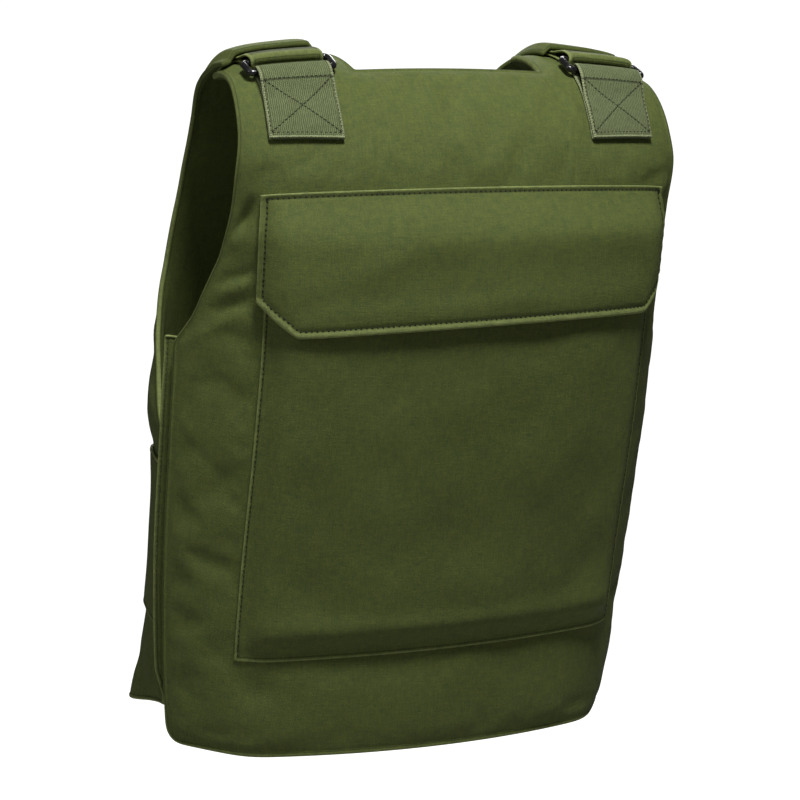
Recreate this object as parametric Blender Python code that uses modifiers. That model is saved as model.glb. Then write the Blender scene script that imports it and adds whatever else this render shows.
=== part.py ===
"""A tactical vest in olive cloth, in the form that it has when worn: padded back and front panels, a map pocket
with its flap on the back, webbing, rings and straps at the shoulders, and wide straps round the sides.

Metres, +Z up. The wearer faces -Y and has the left hand at +X. The origin lies midway between the shoulders, where
the vest hangs on them.

Every cloth piece lies on one surface, the skin, which is the outer face of the padded panels. A place on it is
given by `across`, the distance from the centre line measured round the body, and `way`, the distance along the
centre line from the back hem, up the back, over the shoulders and down the front.
"""

import math

import bpy
import numpy as np

GAP = 0.0003
SEAT = 0.0006
PAD = 0.010
CLOTH = 0.002
WEBBING = 0.0015
RIM_ROUND = 0.003
SHARP_DEGREES = 50
SMALL_STEP = 0.0001

# The skin. Along the centre line each row has its place, the turn of the cloth BOW_REACH away from the centre, the
# further turn that it makes at the flank, and how far from the centre that turn begins.
BOW_REACH = 0.120
FLANK_SPAN = 0.040
CENTRE_LINE = (
    # y, z, bow_degrees, flank_degrees, flank_from
    (-0.0445, -0.486, 18.0, 30.0, 0.112),
    (-0.0400, -0.440, 17.0, 28.0, 0.112),
    (-0.0290, -0.360, 16.0, 26.0, 0.112),
    (-0.0110, -0.270, 15.5, 27.0, 0.112),
    (0.0010, -0.190, 15.0, 28.0, 0.112),
    (0.0020, -0.110, 12.5, 20.0, 0.112),
    (-0.0090, -0.066, 9.0, 5.0, 0.112),
    (-0.0500, -0.020, 5.0, 4.0, 0.112),
    (-0.0950, -0.0085, 7.0, 14.0, 0.115),
    (-0.1400, -0.020, 11.0, 12.0, 0.115),
    (-0.1860, -0.066, 14.0, 16.0, 0.120),
    (-0.2200, -0.140, 16.0, 30.0, 0.124),
    (-0.2330, -0.225, 18.0, 45.0, 0.134),
    (-0.2345, -0.258, 18.0, 46.0, 0.137),
    (-0.2355, -0.290, 18.0, 46.0, 0.130),
    (-0.2365, -0.340, 18.0, 46.0, 0.130),
    (-0.2400, -0.400, 18.0, 48.0, 0.134),
    (-0.2465, -0.470, 18.0, 64.0, 0.155),
)
TOP_ROW = 8

# How much higher the middle of a long lower edge hangs than its ends
EDGE_ARCH = 0.0045

# Back panel
HEM_CORNER = 0.014
HEM_SKEW = 0.020
HEM_FADES = 0.120
BACK_STATIONS = (0.090, 0.112, 0.122, 0.132, 0.139, 0.146)
BACK_NECK = 0.490
BACK_END = 0.545
ARMHOLE_CORNER = 0.277
BACK_EDGES = (
    # way, neck_across, arm_across
    (0.000, 0.068, 0.1995),
    (0.060, 0.068, 0.2035),
    (0.200, 0.068, 0.2105),
    (ARMHOLE_CORNER, 0.068, 0.2140),
    (0.304, 0.068, 0.1985),
    (0.345, 0.068, 0.1810),
    (0.390, 0.068, 0.1690),
    (0.440, 0.068, 0.1610),
    (BACK_NECK, 0.068, 0.1565),
    (BACK_END, 0.073, 0.1520),
)

# Front panel, whose cloth is thin where it rides over the shoulder straps
FRONT_WALL = 0.008
FRONT_THIN = 0.35
FRONT_STATIONS = (0.090, 0.112, 0.125, 0.138)
FRONT_FLANK_STEPS = 6
FRONT_HALF = 0.228
FRONT_CORNER = 0.003
FRONT_END = 0.519
FRONT_SCOOP = 0.678
FRONT_NECK = 0.690
FRONT_ARMHOLE_CORNER = 0.845
FRONT_WIDENS_FROM = 0.985
FRONT_EDGES = (
    # way, neck_across, arm_across
    (FRONT_END, 0.0850, 0.1510),
    (0.560, 0.0850, 0.1510),
    (0.590, 0.0800, 0.1490),
    (0.615, 0.0770, 0.1470),
    (0.650, 0.0740, 0.1470),
    (FRONT_SCOOP, 0.0620, 0.1470),
    (FRONT_NECK, 0.0440, 0.1480),
    (0.740, 0.0440, 0.1560),
    (0.775, 0.0440, 0.1720),
    (0.820, 0.0440, 0.2050),
    (FRONT_ARMHOLE_CORNER, 0.0440, FRONT_HALF),
    (FRONT_WIDENS_FROM, 0.0440, FRONT_HALF),
    (1.040, 0.0440, 0.2410),
)
FRONT_HEM_HEIGHT = -0.4495
FRONT_DIP = 0.0150
FRONT_DIP_HALF = 0.170
FRONT_DIP_SPAN = 0.070
FRONT_DIP_FADES = 0.050
FRONT_RAISED = 0.0084
FRONT_RAISED_TO = 0.575
FRONT_SEATED_FROM = 0.650

# Pocket and flap on the back
POCKET_HALF = 0.146
POCKET_BOTTOM = 0.0715
POCKET_SKEW = 0.031
POCKET_MOUTH = 0.335
POCKET_DEPTH = 0.0065
POCKET_SEAM = 0.005
POCKET_RISE = 0.016
FLAP_HALF = 0.1500
FLAP_TOP = 0.3945
FLAP_TOP_SKEW = 0.012
FLAP_BOTTOM = 0.3010
FLAP_SKEW = 0.045
FLAP_CUT = 0.026
FLAP_CUT_SLOPE = 0.9
FLAP_STAND = 0.0095
FLAP_RISES_BY = 0.40
FLAP_SIDES_KEEP = 0.5

# Shoulder webbing, rings and straps
SHOULDER_FROM = 0.0905
SHOULDER_TO = 0.1405
WEBBING_BOTTOM = 0.4300
WEBBING_SKEW = 0.08
WEBBING_LEAN = 0.002
RING_LOW = 0.4830
RING_HIGH = 0.4970
RING_LIFT = 0.0052
RING_WIRE = 0.0024
RING_SPARE = 0.0030
RING_CORNER = 0.003
LOOP_CLEAR = 0.0005
BAND_LEAVES = 0.002
BAND_STEP = 0.010
BAND_SINKS = 0.022
STRAP_END = 0.562

# Side flanges, sewn inside the back panel's edges, and side straps, which lie inside the flanges and run forward
FLANGE_FOOT = 0.026
FLANGE_TAPER = 0.018
FLANGE_NARROW = 0.35
FLANGE_HEAD = 0.279
FLANGE_SEWN = 0.022
FLANGE_CLEAR = 0.001
FLANGE_OUT = 0.011
FLANGE_DEPTH = 0.0075
STRAP_HEIGHTS = np.linspace(-0.2875, -0.396, 5)
STRAP_FROM = 0.190
STRAP_LEAVES = 0.212
STRAP_TIP = 0.055


def knots_of(rows):
    """The distance of each row of a (y, z) table along the broken line through them."""
    steps = np.hypot(*np.diff(rows[:, :2], axis=0).T)
    return np.concatenate([[0.0], np.cumsum(steps)])


LINE = np.array(CENTRE_LINE)
LINE_WAYS = knots_of(LINE)
POINTS, WEIGHTS = np.polynomial.legendre.leggauss(16)
POINTS, WEIGHTS = (POINTS + 1) / 2, WEIGHTS / 2


def smooth(at, knots, values):
    """A smooth curve through a table: cubic pieces whose slopes at the rows are central differences."""
    slopes = np.gradient(values, knots, axis=0)
    at = np.asarray(at, float)
    row = np.clip(np.searchsorted(knots, at, side="right") - 1, 0, len(knots) - 2)
    span = (knots[row + 1] - knots[row])[..., None]
    t = (at - knots[row])[..., None] / span
    low, high = values[row], values[row + 1]
    return (
        (2 * t**3 - 3 * t**2 + 1) * low
        + (t**3 - 2 * t**2 + t) * slopes[row] * span
        + (3 * t**2 - 2 * t**3) * high
        + (t**3 - t**2) * slopes[row + 1] * span
    )


def way_at(height, front=False):
    """The way of a height on the centre line, at the back or at the front."""
    rows = slice(None, TOP_ROW - 1, -1) if front else slice(0, TOP_ROW + 1)
    return np.interp(height, LINE[rows, 1], LINE_WAYS[rows])


def ease(t):
    """From 0 to 1 with level ends."""
    t = np.clip(t, 0.0, 1.0)
    return t * t * (3 - 2 * t)


def turn(reach, bow, flank, start):
    """How far the cloth has turned at a reach from the centre line: a steady bow, and more at the flank."""
    return np.radians(bow * reach / BOW_REACH + flank * ease((reach - start) / FLANK_SPAN))


def skin(across, way, lift=0.0):
    """Points on the skin, lifted off it: the turn is summed from the centre line outwards, and gives how far the
    cloth has gone sideways and how far it has dropped inwards, square to the centre line."""
    across, way, lift = np.broadcast_arrays(*(np.asarray(a, float) for a in (across, way, lift)))
    y, z, bow, flank, start = np.moveaxis(smooth(way, LINE_WAYS, LINE), -1, 0)
    ahead = smooth(way + SMALL_STEP, LINE_WAYS, LINE) - smooth(way - SMALL_STEP, LINE_WAYS, LINE)
    ahead = ahead[..., :2]
    ahead = ahead / np.linalg.norm(ahead, axis=-1, keepdims=True)
    inward_y, inward_z = -ahead[..., 1], ahead[..., 0]
    reach = np.abs(across)
    turned = turn(reach[..., None] * POINTS, bow[..., None], flank[..., None], start[..., None])
    x = across * (WEIGHTS * np.cos(turned)).sum(-1)
    drop = reach * (WEIGHTS * np.sin(turned)).sum(-1)
    end = turn(reach, bow, flank, start)
    x = x + lift * np.sign(across) * np.sin(end)
    drop = drop - lift * np.cos(end)
    return np.stack([x, y + drop * inward_y, z + drop * inward_z], -1)


def edge_table(rows, ways):
    """The neck and arm columns of an edge table, read at each way along straight lines between its rows."""
    table = np.array(rows)
    return np.interp(ways, table[:, 0], table[:, 1]), np.interp(ways, table[:, 0], table[:, 2])


def rounded(arm, from_hem, radius):
    """An arm edge drawn in along a quarter circle over the last stretch before the hem."""
    left = np.clip(radius - from_hem, 0.0, radius)
    return arm - (radius - np.sqrt(radius**2 - left**2))


def stretch(*stops):
    """Ways from stop to stop, each stretch cut into equal steps: stop, steps, stop, steps, ... stop."""
    ways = [stops[:1]]
    for low, steps, high in zip(stops[0:-2:2], stops[1:-1:2], stops[2::2]):
        ways.append(np.linspace(low, high, steps + 1)[1:])
    return np.concatenate(ways)


def arched(across, half):
    """How far a lower edge rises above its ends: a parabola across the piece."""
    return EDGE_ARCH * (1 - (across / half) ** 2)


def hem_steps(radius, count):
    """Distances from the hem that follow a quarter circle in equal turns."""
    return radius * (1 - np.cos(np.linspace(0.0, math.pi / 2, count + 1)))


def cloth(name, points, thickness, finish, offset=-1.0, kept=None, rim=0.0, part=None):
    """A piece of cloth: an open grid of points given a wall with Solidify, and a rounded rim with Bevel. `part` is
    the share of the full thickness at each point."""
    rows, columns = points.shape[:2]
    index = np.arange(rows * columns).reshape(rows, columns)
    corners = (index[:-1, :-1], index[1:, :-1], index[1:, 1:], index[:-1, 1:])
    faces = np.stack(corners, -1)
    faces = faces[kept] if kept is not None else faces.reshape(-1, 4)
    used = np.unique(faces)
    faces = np.searchsorted(used, faces)
    mesh = bpy.data.meshes.new(name)
    mesh.from_pydata(points.reshape(-1, 3)[used].tolist(), [], faces.tolist())
    mesh.materials.append(finish)
    piece = bpy.data.objects.new(name, mesh)
    VEST.objects.link(piece)
    wall = piece.modifiers.new("wall", "SOLIDIFY")
    wall.thickness = thickness
    wall.offset = offset
    wall.use_even_offset = True
    if part is not None:
        thin = piece.vertex_groups.new(name="thickness")
        for vertex, share in enumerate(part.ravel()[used].tolist()):
            thin.add([vertex], share, "REPLACE")
        wall.vertex_group = thin.name
    if rim:
        edge = piece.modifiers.new("rim", "BEVEL")
        edge.width = rim
        edge.segments = 2
        edge.limit_method = "ANGLE"
        edge.angle_limit = math.radians(SHARP_DEGREES)
    mesh.shade_smooth()
    mesh.set_sharp_from_angle(angle=math.radians(SHARP_DEGREES))
    return piece


def panel_columns(neck, arm, stations, last_steps):
    """Columns of a panel at each row: from the centre to the neck edge, then the stations, which are the same at
    every row, and then equal steps to the arm edge."""
    centre = neck[:, None] * (1 / 2, 1)
    fixed = np.broadcast_to(stations, (len(neck), len(stations)))
    last = stations[-1] + (arm - stations[-1])[:, None] * np.linspace(0, 1, last_steps + 1)[1:]
    right = np.concatenate([centre, fixed, last], axis=1)
    return np.concatenate([-right[:, ::-1], np.zeros((len(neck), 1)), right], axis=1)


def without_neck(ways, across, neck, cut):
    """Which faces of a panel's grid are kept: all but those between the neck edges where `cut` holds for the row."""
    middle = np.abs(across[:-1, :-1] + across[:-1, 1:]) / 2
    in_neck = middle < neck[:-1, None]
    return ~(in_neck & cut((ways[:-1] + ways[1:]) / 2)[:, None])


def back_panel():
    body = stretch(HEM_CORNER, 6, ARMHOLE_CORNER, 6, FLAP_TOP, 7, BACK_NECK, 5, BACK_END)
    ways = np.concatenate([hem_steps(HEM_CORNER, 3), body[1:]])
    neck, arm = edge_table(BACK_EDGES, ways)
    across = panel_columns(neck, rounded(arm, ways, HEM_CORNER), BACK_STATIONS, 3)
    kept = without_neck(ways, across, neck, lambda way: way > BACK_NECK)
    hung = (arched(across, arm[0]) - HEM_SKEW * across) * ease(1 - ways / HEM_FADES)[:, None]
    return cloth("back_panel", skin(across, ways[:, None] + hung), PAD, OLIVE, kept=kept, rim=RIM_ROUND)


def over_shoulder(ways):
    """1 where the front panel rides over the shoulder straps, and 0 from the chest down."""
    return ease((FRONT_SEATED_FROM - ways) / (FRONT_SEATED_FROM - FRONT_RAISED_TO))


def front_panel():
    """Its hem hangs lower in front than at its flanks."""
    hem_way = way_at(FRONT_HEM_HEIGHT, front=True)
    hem = hem_way - hem_steps(FRONT_CORNER, 3)[::-1]
    chest = stretch(FRONT_END, 8, FRONT_SEATED_FROM, 2, FRONT_SCOOP, 1, FRONT_NECK, 5, FRONT_ARMHOLE_CORNER)
    under_strap = way_at(STRAP_HEIGHTS, front=True)
    ways = np.concatenate([chest, under_strap, stretch(under_strap[-1], 2, hem[0])[1:], hem[1:]])
    neck, arm = edge_table(FRONT_EDGES, ways)
    across = panel_columns(neck, rounded(arm, hem_way - ways, FRONT_CORNER), FRONT_STATIONS, FRONT_FLANK_STEPS)
    kept = without_neck(ways, across, neck, lambda way: way < FRONT_NECK)
    raised = over_shoulder(ways)[:, None]
    low = 1 - ease((np.abs(across) - FRONT_DIP_HALF) / FRONT_DIP_SPAN)
    hung = FRONT_DIP * low * ease(1 - (hem_way - ways) / FRONT_DIP_FADES)[:, None]
    points = skin(across, ways[:, None] + hung, FRONT_RAISED * raised)
    part = np.broadcast_to(1 - (1 - FRONT_THIN) * raised, across.shape)
    return cloth("front_panel", points, FRONT_WALL, OLIVE, kept=kept, rim=RIM_ROUND * FRONT_THIN, part=part)


def pocket_lift(across, from_foot):
    """The pocket's inner face: on the panel along its sewn edges, and standing off it inside them."""
    from_side = POCKET_HALF - np.abs(across) - POCKET_SEAM
    from_seam = from_foot - POCKET_SEAM
    return SEAT + POCKET_DEPTH * ease(from_side / POCKET_RISE) * ease(from_seam / POCKET_RISE)


def back_pocket():
    edge = (0.0, POCKET_SEAM, POCKET_SEAM + POCKET_RISE / 2, POCKET_SEAM + POCKET_RISE)
    half = POCKET_HALF - np.array(edge)
    inside = np.linspace(-half[-1], half[-1], 11)[1:-1]
    across = np.concatenate([-half, inside, half[::-1]])
    height = POCKET_MOUTH - POCKET_BOTTOM
    from_foot = stretch(0.0, 1, POCKET_SEAM, 3, POCKET_SEAM + POCKET_RISE, 8, height)[:, None]
    hung = arched(across, POCKET_HALF) - POCKET_SKEW * across
    ways = POCKET_BOTTOM + from_foot + hung * (1 - from_foot / height)
    return cloth("back_pocket", skin(across, ways, pocket_lift(across, from_foot)), CLOTH, OLIVE, offset=1.0)


def flap_lift(across, part):
    """The flap's inner face, from its sewn top to its free lower edge, drawn in at the sides."""
    past_pocket = np.abs(across) - (POCKET_HALF - POCKET_RISE)
    side = 1 - (1 - FLAP_SIDES_KEEP) * ease(past_pocket / (FLAP_HALF - POCKET_HALF + POCKET_RISE))
    return SEAT + FLAP_STAND * ease(part / FLAP_RISES_BY) * side


def pocket_flap():
    """The grid's rows run from the lower edge up, and its outer columns rise along the cut corners."""
    part = np.linspace(0.0, 1.0, 9)
    half = stretch(0.0, 4, BACK_STATIONS[1], 2, FLAP_HALF - FLAP_CUT, 4, FLAP_HALF)
    across = np.concatenate([-half[:0:-1], half])
    cut = np.maximum(np.abs(across) - (FLAP_HALF - FLAP_CUT), 0.0)
    low = FLAP_BOTTOM - FLAP_SKEW * across + FLAP_CUT_SLOPE * cut + arched(across, FLAP_HALF)
    ways = low + part[:, None] * (FLAP_TOP - FLAP_TOP_SKEW * across - low)
    points = skin(across, ways, flap_lift(across, 1 - part[:, None]))
    return cloth("pocket_flap", points, CLOTH, OLIVE, offset=1.0)


def loop_path(start, bar_way, towards, thickness):
    """The middle line, as way and lift, of a band that comes along the panel, goes round a ring's bar and returns
    on top of itself."""
    low = SEAT + thickness / 2
    high = low + thickness + GAP
    radius = RING_WIRE + LOOP_CLEAR + thickness / 2
    angles = np.radians(np.linspace(-90, 90, 7))
    round_way = bar_way + towards * radius * np.cos(angles)
    round_lift = RING_LIFT + radius * np.sin(angles)
    leave = bar_way - towards * BAND_LEAVES
    steps = math.ceil(abs(leave - start) / BAND_STEP)
    along = np.linspace(start, leave, steps + 1)
    sinking = ease(np.abs(along - leave) / BAND_SINKS)
    top = RING_LIFT + radius
    way = np.concatenate([along, round_way, along[::-1]])
    lift = np.concatenate([np.full(steps + 1, low), round_lift, (top + (high - top) * sinking)[::-1]])
    return way, lift


def band_across(side, count):
    """Columns of a shoulder band, always from low to high, on the left (+1) or right (-1) shoulder."""
    return np.linspace(*sorted((side * SHOULDER_FROM, side * SHOULDER_TO)), count)


def webbing(name, side):
    """The webbing runs a little aslant: its sewn end lies lower on the neck side, and nearer the left hand."""
    way, lift = loop_path(WEBBING_BOTTOM, RING_LOW, 1, WEBBING)
    across = band_across(side, 5)
    sewn = ease((RING_LOW - way) / (RING_LOW - WEBBING_BOTTOM))[:, None]
    aslant = WEBBING_SKEW * (np.abs(across) - (SHOULDER_FROM + SHOULDER_TO) / 2)
    points = skin(across + WEBBING_LEAN * sewn, way[:, None] + aslant * sewn, lift[:, None])
    return cloth(name, points, WEBBING, WEBBING_GREEN, offset=0.0)


def shoulder_strap(name, side):
    way, lift = loop_path(STRAP_END, RING_HIGH, -1, CLOTH)
    points = skin(band_across(side, 5), way[:, None], lift[:, None])
    return cloth(name, points, CLOTH, OLIVE, offset=0.0)


def ring(name, side):
    """A closed wire: a rectangle with round corners, laid on the shoulder, long enough to clear the bands."""
    half = (SHOULDER_TO - SHOULDER_FROM) / 2 + RING_WIRE + RING_SPARE / 2
    middle = side * (SHOULDER_FROM + SHOULDER_TO) / 2
    height = (RING_HIGH - RING_LOW) / 2
    centre = (RING_HIGH + RING_LOW) / 2
    radius = RING_CORNER
    bars = np.linspace(-1, 1, 5) * (half - radius)
    turns = np.radians(np.array([30.0, 60.0]))
    corner_x = half - radius + radius * np.sin(turns)
    corner_y = height - radius + radius * np.cos(turns)
    top = np.stack([bars, np.full(5, height)], -1)
    right = np.stack([np.append(corner_x, half), np.append(corner_y, height - radius)], -1)
    right_low = right[::-1] * (1, -1)
    outline = np.concatenate([top, right, right_low, top[::-1] * (1, -1), right * (-1, -1), right_low * (-1, -1)])
    curve = bpy.data.curves.new(name, "CURVE")
    curve.dimensions = "3D"
    curve.bevel_depth = RING_WIRE
    curve.bevel_resolution = 1
    spline = curve.splines.new("POLY")
    spline.points.add(len(outline) - 1)
    places = skin(middle + outline[:, 0], centre + outline[:, 1], RING_LIFT)
    spline.points.foreach_set("co", np.append(places, np.ones((len(places), 1)), axis=1).ravel())
    spline.use_cyclic_u = True
    curve.materials.append(BLACK)
    piece = bpy.data.objects.new(name, curve)
    VEST.objects.link(piece)
    return piece


def side_flange(name, side):
    """A strip sewn inside the back panel's edge, which rises a little once it has come out past the edge, and narrows
    towards its foot."""
    ways = np.append(FLANGE_FOOT, np.linspace(FLANGE_FOOT + FLANGE_TAPER, FLANGE_HEAD, 8))
    past_edge = np.array([-FLANGE_SEWN, -FLANGE_SEWN / 2, FLANGE_CLEAR, FLANGE_OUT / 2, FLANGE_OUT])
    outside = np.maximum(past_edge - FLANGE_CLEAR, 0.0)
    lost = (1 - FLANGE_NARROW) * (ways == FLANGE_FOOT)
    across = edge_table(BACK_EDGES, ways)[1][:, None] + past_edge - lost[:, None] * outside
    under = PAD + SEAT + CLOTH / 2
    depth = np.interp(past_edge, (FLANGE_CLEAR, FLANGE_OUT), (under, FLANGE_DEPTH))
    if side < 0:
        across, depth = -across[:, ::-1], depth[::-1]
    return cloth(name, skin(across, ways[:, None], -depth), CLOTH, OLIVE, offset=0.0)


def side_strap(name, side):
    """A wide strap in three stretches: inside the flange, across the gap on a cubic with the tangents of its ends,
    and over the front panel to its tip."""
    heights = STRAP_HEIGHTS[::-1, None]
    back_way, front_way = way_at(heights), way_at(heights, front=True)
    under = -(PAD + 3 * SEAT + 1.5 * CLOTH)
    over = SEAT + CLOTH / 2
    inside = skin(np.linspace(STRAP_FROM, STRAP_LEAVES, 3), back_way, under)
    stations = stretch(FRONT_HALF, FRONT_FLANK_STEPS, FRONT_STATIONS[-1])
    outside = skin(np.concatenate([stations, FRONT_STATIONS[-2::-1], [STRAP_TIP]]), front_way, over)
    t = np.linspace(0, 1, 6)[1:-1, None]
    start, end = inside[:, -1:], outside[:, :1]
    length = np.linalg.norm(end - start, axis=-1, keepdims=True)
    leaving = inside[:, -1:] - inside[:, -2:-1]
    landing = outside[:, 1:2] - outside[:, :1]
    leaving *= length / np.linalg.norm(leaving, axis=-1, keepdims=True)
    landing *= length / np.linalg.norm(landing, axis=-1, keepdims=True)
    bridge = (
        (2 * t**3 - 3 * t**2 + 1) * start
        + (t**3 - 2 * t**2 + t) * leaving
        + (3 * t**2 - 2 * t**3) * end
        + (t**3 - t**2) * landing
    )
    points = np.concatenate([inside, bridge, outside], axis=1) * (side, 1, 1)
    if side > 0:
        points = points[:, ::-1]
    return cloth(name, points, CLOTH, OLIVE, offset=0.0)


def material(name, colour, roughness):
    made = bpy.data.materials.new(name)
    made.use_nodes = True
    shader = made.node_tree.nodes["Principled BSDF"]
    shader.inputs["Base Color"].default_value = (*colour, 1.0)
    shader.inputs["Roughness"].default_value = roughness
    shader.inputs["Metallic"].default_value = 0.0
    return made


for old in list(bpy.data.objects):
    bpy.data.objects.remove(old)
VEST = bpy.data.collections.new("tactical_vest")
bpy.context.scene.collection.children.link(VEST)
OLIVE = material("olive_cloth", (0.090, 0.115, 0.038), 0.85)
WEBBING_GREEN = material("green_webbing", (0.150, 0.180, 0.090), 0.80)
BLACK = material("black_plastic", (0.012, 0.012, 0.013), 0.45)

back_panel()
back_pocket()
pocket_flap()
front_panel()
for side, hand in ((1, "left"), (-1, "right")):
    webbing(f"webbing_{hand}", side)
    ring(f"ring_{hand}", side)
    shoulder_strap(f"shoulder_strap_{hand}", side)
    side_flange(f"side_flange_{hand}", side)
    side_strap(f"side_strap_{hand}", side)
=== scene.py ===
"""The looks of a tactical vest in olive cloth: padded panels, a map pocket under its flap, ribbed webbing,
glossy rings, straps, and the stitching that holds them.

Metres, +Z up. A place on the vest is given by `across`, the distance from the centre line measured round the
body, and `way`, the distance along the centre line from the back hem, over the shoulders and down the front.
`lift` is the height off the outer face of the panels.
"""

import math

import bpy
import numpy as np
from mathutils import Matrix, Vector


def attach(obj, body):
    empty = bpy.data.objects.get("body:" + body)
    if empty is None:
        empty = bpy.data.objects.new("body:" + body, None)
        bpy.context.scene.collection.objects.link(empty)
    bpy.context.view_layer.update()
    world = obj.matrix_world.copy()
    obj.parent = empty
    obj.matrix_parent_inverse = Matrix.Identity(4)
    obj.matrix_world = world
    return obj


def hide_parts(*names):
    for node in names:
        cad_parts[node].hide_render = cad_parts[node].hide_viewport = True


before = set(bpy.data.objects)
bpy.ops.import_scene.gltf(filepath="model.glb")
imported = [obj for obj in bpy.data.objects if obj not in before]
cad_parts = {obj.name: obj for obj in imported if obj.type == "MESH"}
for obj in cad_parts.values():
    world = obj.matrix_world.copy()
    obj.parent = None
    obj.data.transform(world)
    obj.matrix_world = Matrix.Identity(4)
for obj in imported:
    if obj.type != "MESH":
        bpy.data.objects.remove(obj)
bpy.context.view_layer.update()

# The sizes and tables of the part's source
GAP = 0.0003
SEAT = 0.0006
PAD = 0.010
CLOTH = 0.002
WEBBING = 0.0015
BOW_REACH = 0.120
FLANK_SPAN = 0.040
SMALL_STEP = 0.0001
CENTRE_LINE = (
    # y, z, bow_degrees, flank_degrees, flank_from
    (-0.0445, -0.486, 18.0, 30.0, 0.112),
    (-0.0400, -0.440, 17.0, 28.0, 0.112),
    (-0.0290, -0.360, 16.0, 26.0, 0.112),
    (-0.0110, -0.270, 15.5, 27.0, 0.112),
    (0.0010, -0.190, 15.0, 28.0, 0.112),
    (0.0020, -0.110, 12.5, 20.0, 0.112),
    (-0.0090, -0.066, 9.0, 5.0, 0.112),
    (-0.0500, -0.020, 5.0, 4.0, 0.112),
    (-0.0950, -0.0085, 7.0, 14.0, 0.115),
    (-0.1400, -0.020, 11.0, 12.0, 0.115),
    (-0.1860, -0.066, 14.0, 16.0, 0.120),
    (-0.2200, -0.140, 16.0, 30.0, 0.124),
    (-0.2330, -0.225, 18.0, 45.0, 0.134),
    (-0.2345, -0.258, 18.0, 46.0, 0.137),
    (-0.2355, -0.290, 18.0, 46.0, 0.130),
    (-0.2365, -0.340, 18.0, 46.0, 0.130),
    (-0.2400, -0.400, 18.0, 48.0, 0.134),
    (-0.2465, -0.470, 18.0, 64.0, 0.155),
)
TOP_ROW = 8
EDGE_ARCH = 0.0045
HEM_CORNER = 0.014
HEM_SKEW = 0.020
HEM_FADES = 0.120
BACK_NECK = 0.490
BACK_END = 0.545
ARMHOLE_CORNER = 0.277
BACK_EDGES = (
    # way, neck_across, arm_across
    (0.000, 0.068, 0.1995),
    (0.060, 0.068, 0.2035),
    (0.200, 0.068, 0.2105),
    (ARMHOLE_CORNER, 0.068, 0.2140),
    (0.304, 0.068, 0.1985),
    (0.345, 0.068, 0.1810),
    (0.390, 0.068, 0.1690),
    (0.440, 0.068, 0.1610),
    (BACK_NECK, 0.068, 0.1565),
    (BACK_END, 0.073, 0.1520),
)
FRONT_WALL = 0.008
FRONT_THIN = 0.35
FRONT_HALF = 0.228
FRONT_CORNER = 0.003
FRONT_END = 0.519
FRONT_NECK = 0.690
FRONT_ARMHOLE_CORNER = 0.845
FRONT_WIDENS_FROM = 0.985
FRONT_EDGES = (
    # way, neck_across, arm_across
    (FRONT_END, 0.0850, 0.1510),
    (0.560, 0.0850, 0.1510),
    (0.590, 0.0800, 0.1490),
    (0.615, 0.0770, 0.1470),
    (0.650, 0.0740, 0.1470),
    (0.678, 0.0620, 0.1470),
    (FRONT_NECK, 0.0440, 0.1480),
    (0.740, 0.0440, 0.1560),
    (0.775, 0.0440, 0.1720),
    (0.820, 0.0440, 0.2050),
    (FRONT_ARMHOLE_CORNER, 0.0440, FRONT_HALF),
    (FRONT_WIDENS_FROM, 0.0440, FRONT_HALF),
    (1.040, 0.0440, 0.2410),
)
FRONT_HEM_HEIGHT = -0.4495
FRONT_DIP = 0.0150
FRONT_DIP_HALF = 0.170
FRONT_DIP_SPAN = 0.070
FRONT_DIP_FADES = 0.050
FRONT_RAISED = 0.0084
FRONT_RAISED_TO = 0.575
FRONT_SEATED_FROM = 0.650
POCKET_HALF = 0.146
POCKET_BOTTOM = 0.0715
POCKET_SKEW = 0.031
POCKET_MOUTH = 0.335
POCKET_DEPTH = 0.0065
POCKET_SEAM = 0.005
POCKET_RISE = 0.016
FLAP_HALF = 0.1500
FLAP_TOP = 0.3945
FLAP_TOP_SKEW = 0.012
FLAP_BOTTOM = 0.3010
FLAP_SKEW = 0.045
FLAP_CUT = 0.026
FLAP_CUT_SLOPE = 0.9
FLAP_STAND = 0.0095
FLAP_RISES_BY = 0.40
FLAP_SIDES_KEEP = 0.5
SHOULDER_FROM = 0.0905
SHOULDER_TO = 0.1405
WEBBING_BOTTOM = 0.4300
WEBBING_SKEW = 0.08
WEBBING_LEAN = 0.002
RING_LOW = 0.4830
RING_HIGH = 0.4970
RING_LIFT = 0.0052
RING_WIRE = 0.0024
RING_SPARE = 0.0030
RING_CORNER = 0.003
LOOP_CLEAR = 0.0005
BAND_LEAVES = 0.002
BAND_SINKS = 0.022
STRAP_END = 0.562
FLANGE_FOOT = 0.026
FLANGE_TAPER = 0.018
FLANGE_NARROW = 0.35
FLANGE_HEAD = 0.279
FLANGE_SEWN = 0.022
FLANGE_CLEAR = 0.001
FLANGE_OUT = 0.011
FLANGE_DEPTH = 0.0075
STRAP_HEIGHTS = np.linspace(-0.2875, -0.396, 5)
STRAP_FROM = 0.190
STRAP_LEAVES = 0.212
STRAP_TIP = 0.055
STRAP_STATIONS = (0.138, 0.125, 0.112, 0.090)

# The grids: a few close rows or columns beside every edge, and wider steps between
CLOSE = np.array((0.0, 0.0012, 0.0024, 0.0037, 0.0050, 0.0064, 0.0100))
STEP = 0.0050
FRONT_STEP = 0.0062
FINE_STEP = 0.0040
BAND_STEP = 0.0012

# The section of a padded panel beside its edge, as shares of its wall: a narrow bead where the cloth is
# turned, a shallow groove, and the pad behind it
EDGE_SECTION = (
    # from_edge, outer_depth, inner_depth
    (0.0000, 0.24, 0.50),
    (0.0012, 0.11, 0.58),
    (0.0024, 0.11, 0.64),
    (0.0037, 0.18, 0.70),
    (0.0050, 0.13, 0.76),
    (0.0064, 0.09, 0.82),
    (0.0100, 0.03, 0.92),
    (0.0180, 0.00, 1.00),
)
GROOVE = 0.0037
SHOULDER_THICKER = 0.0016
SHOULDER_WRAPS = 0.0050

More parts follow.
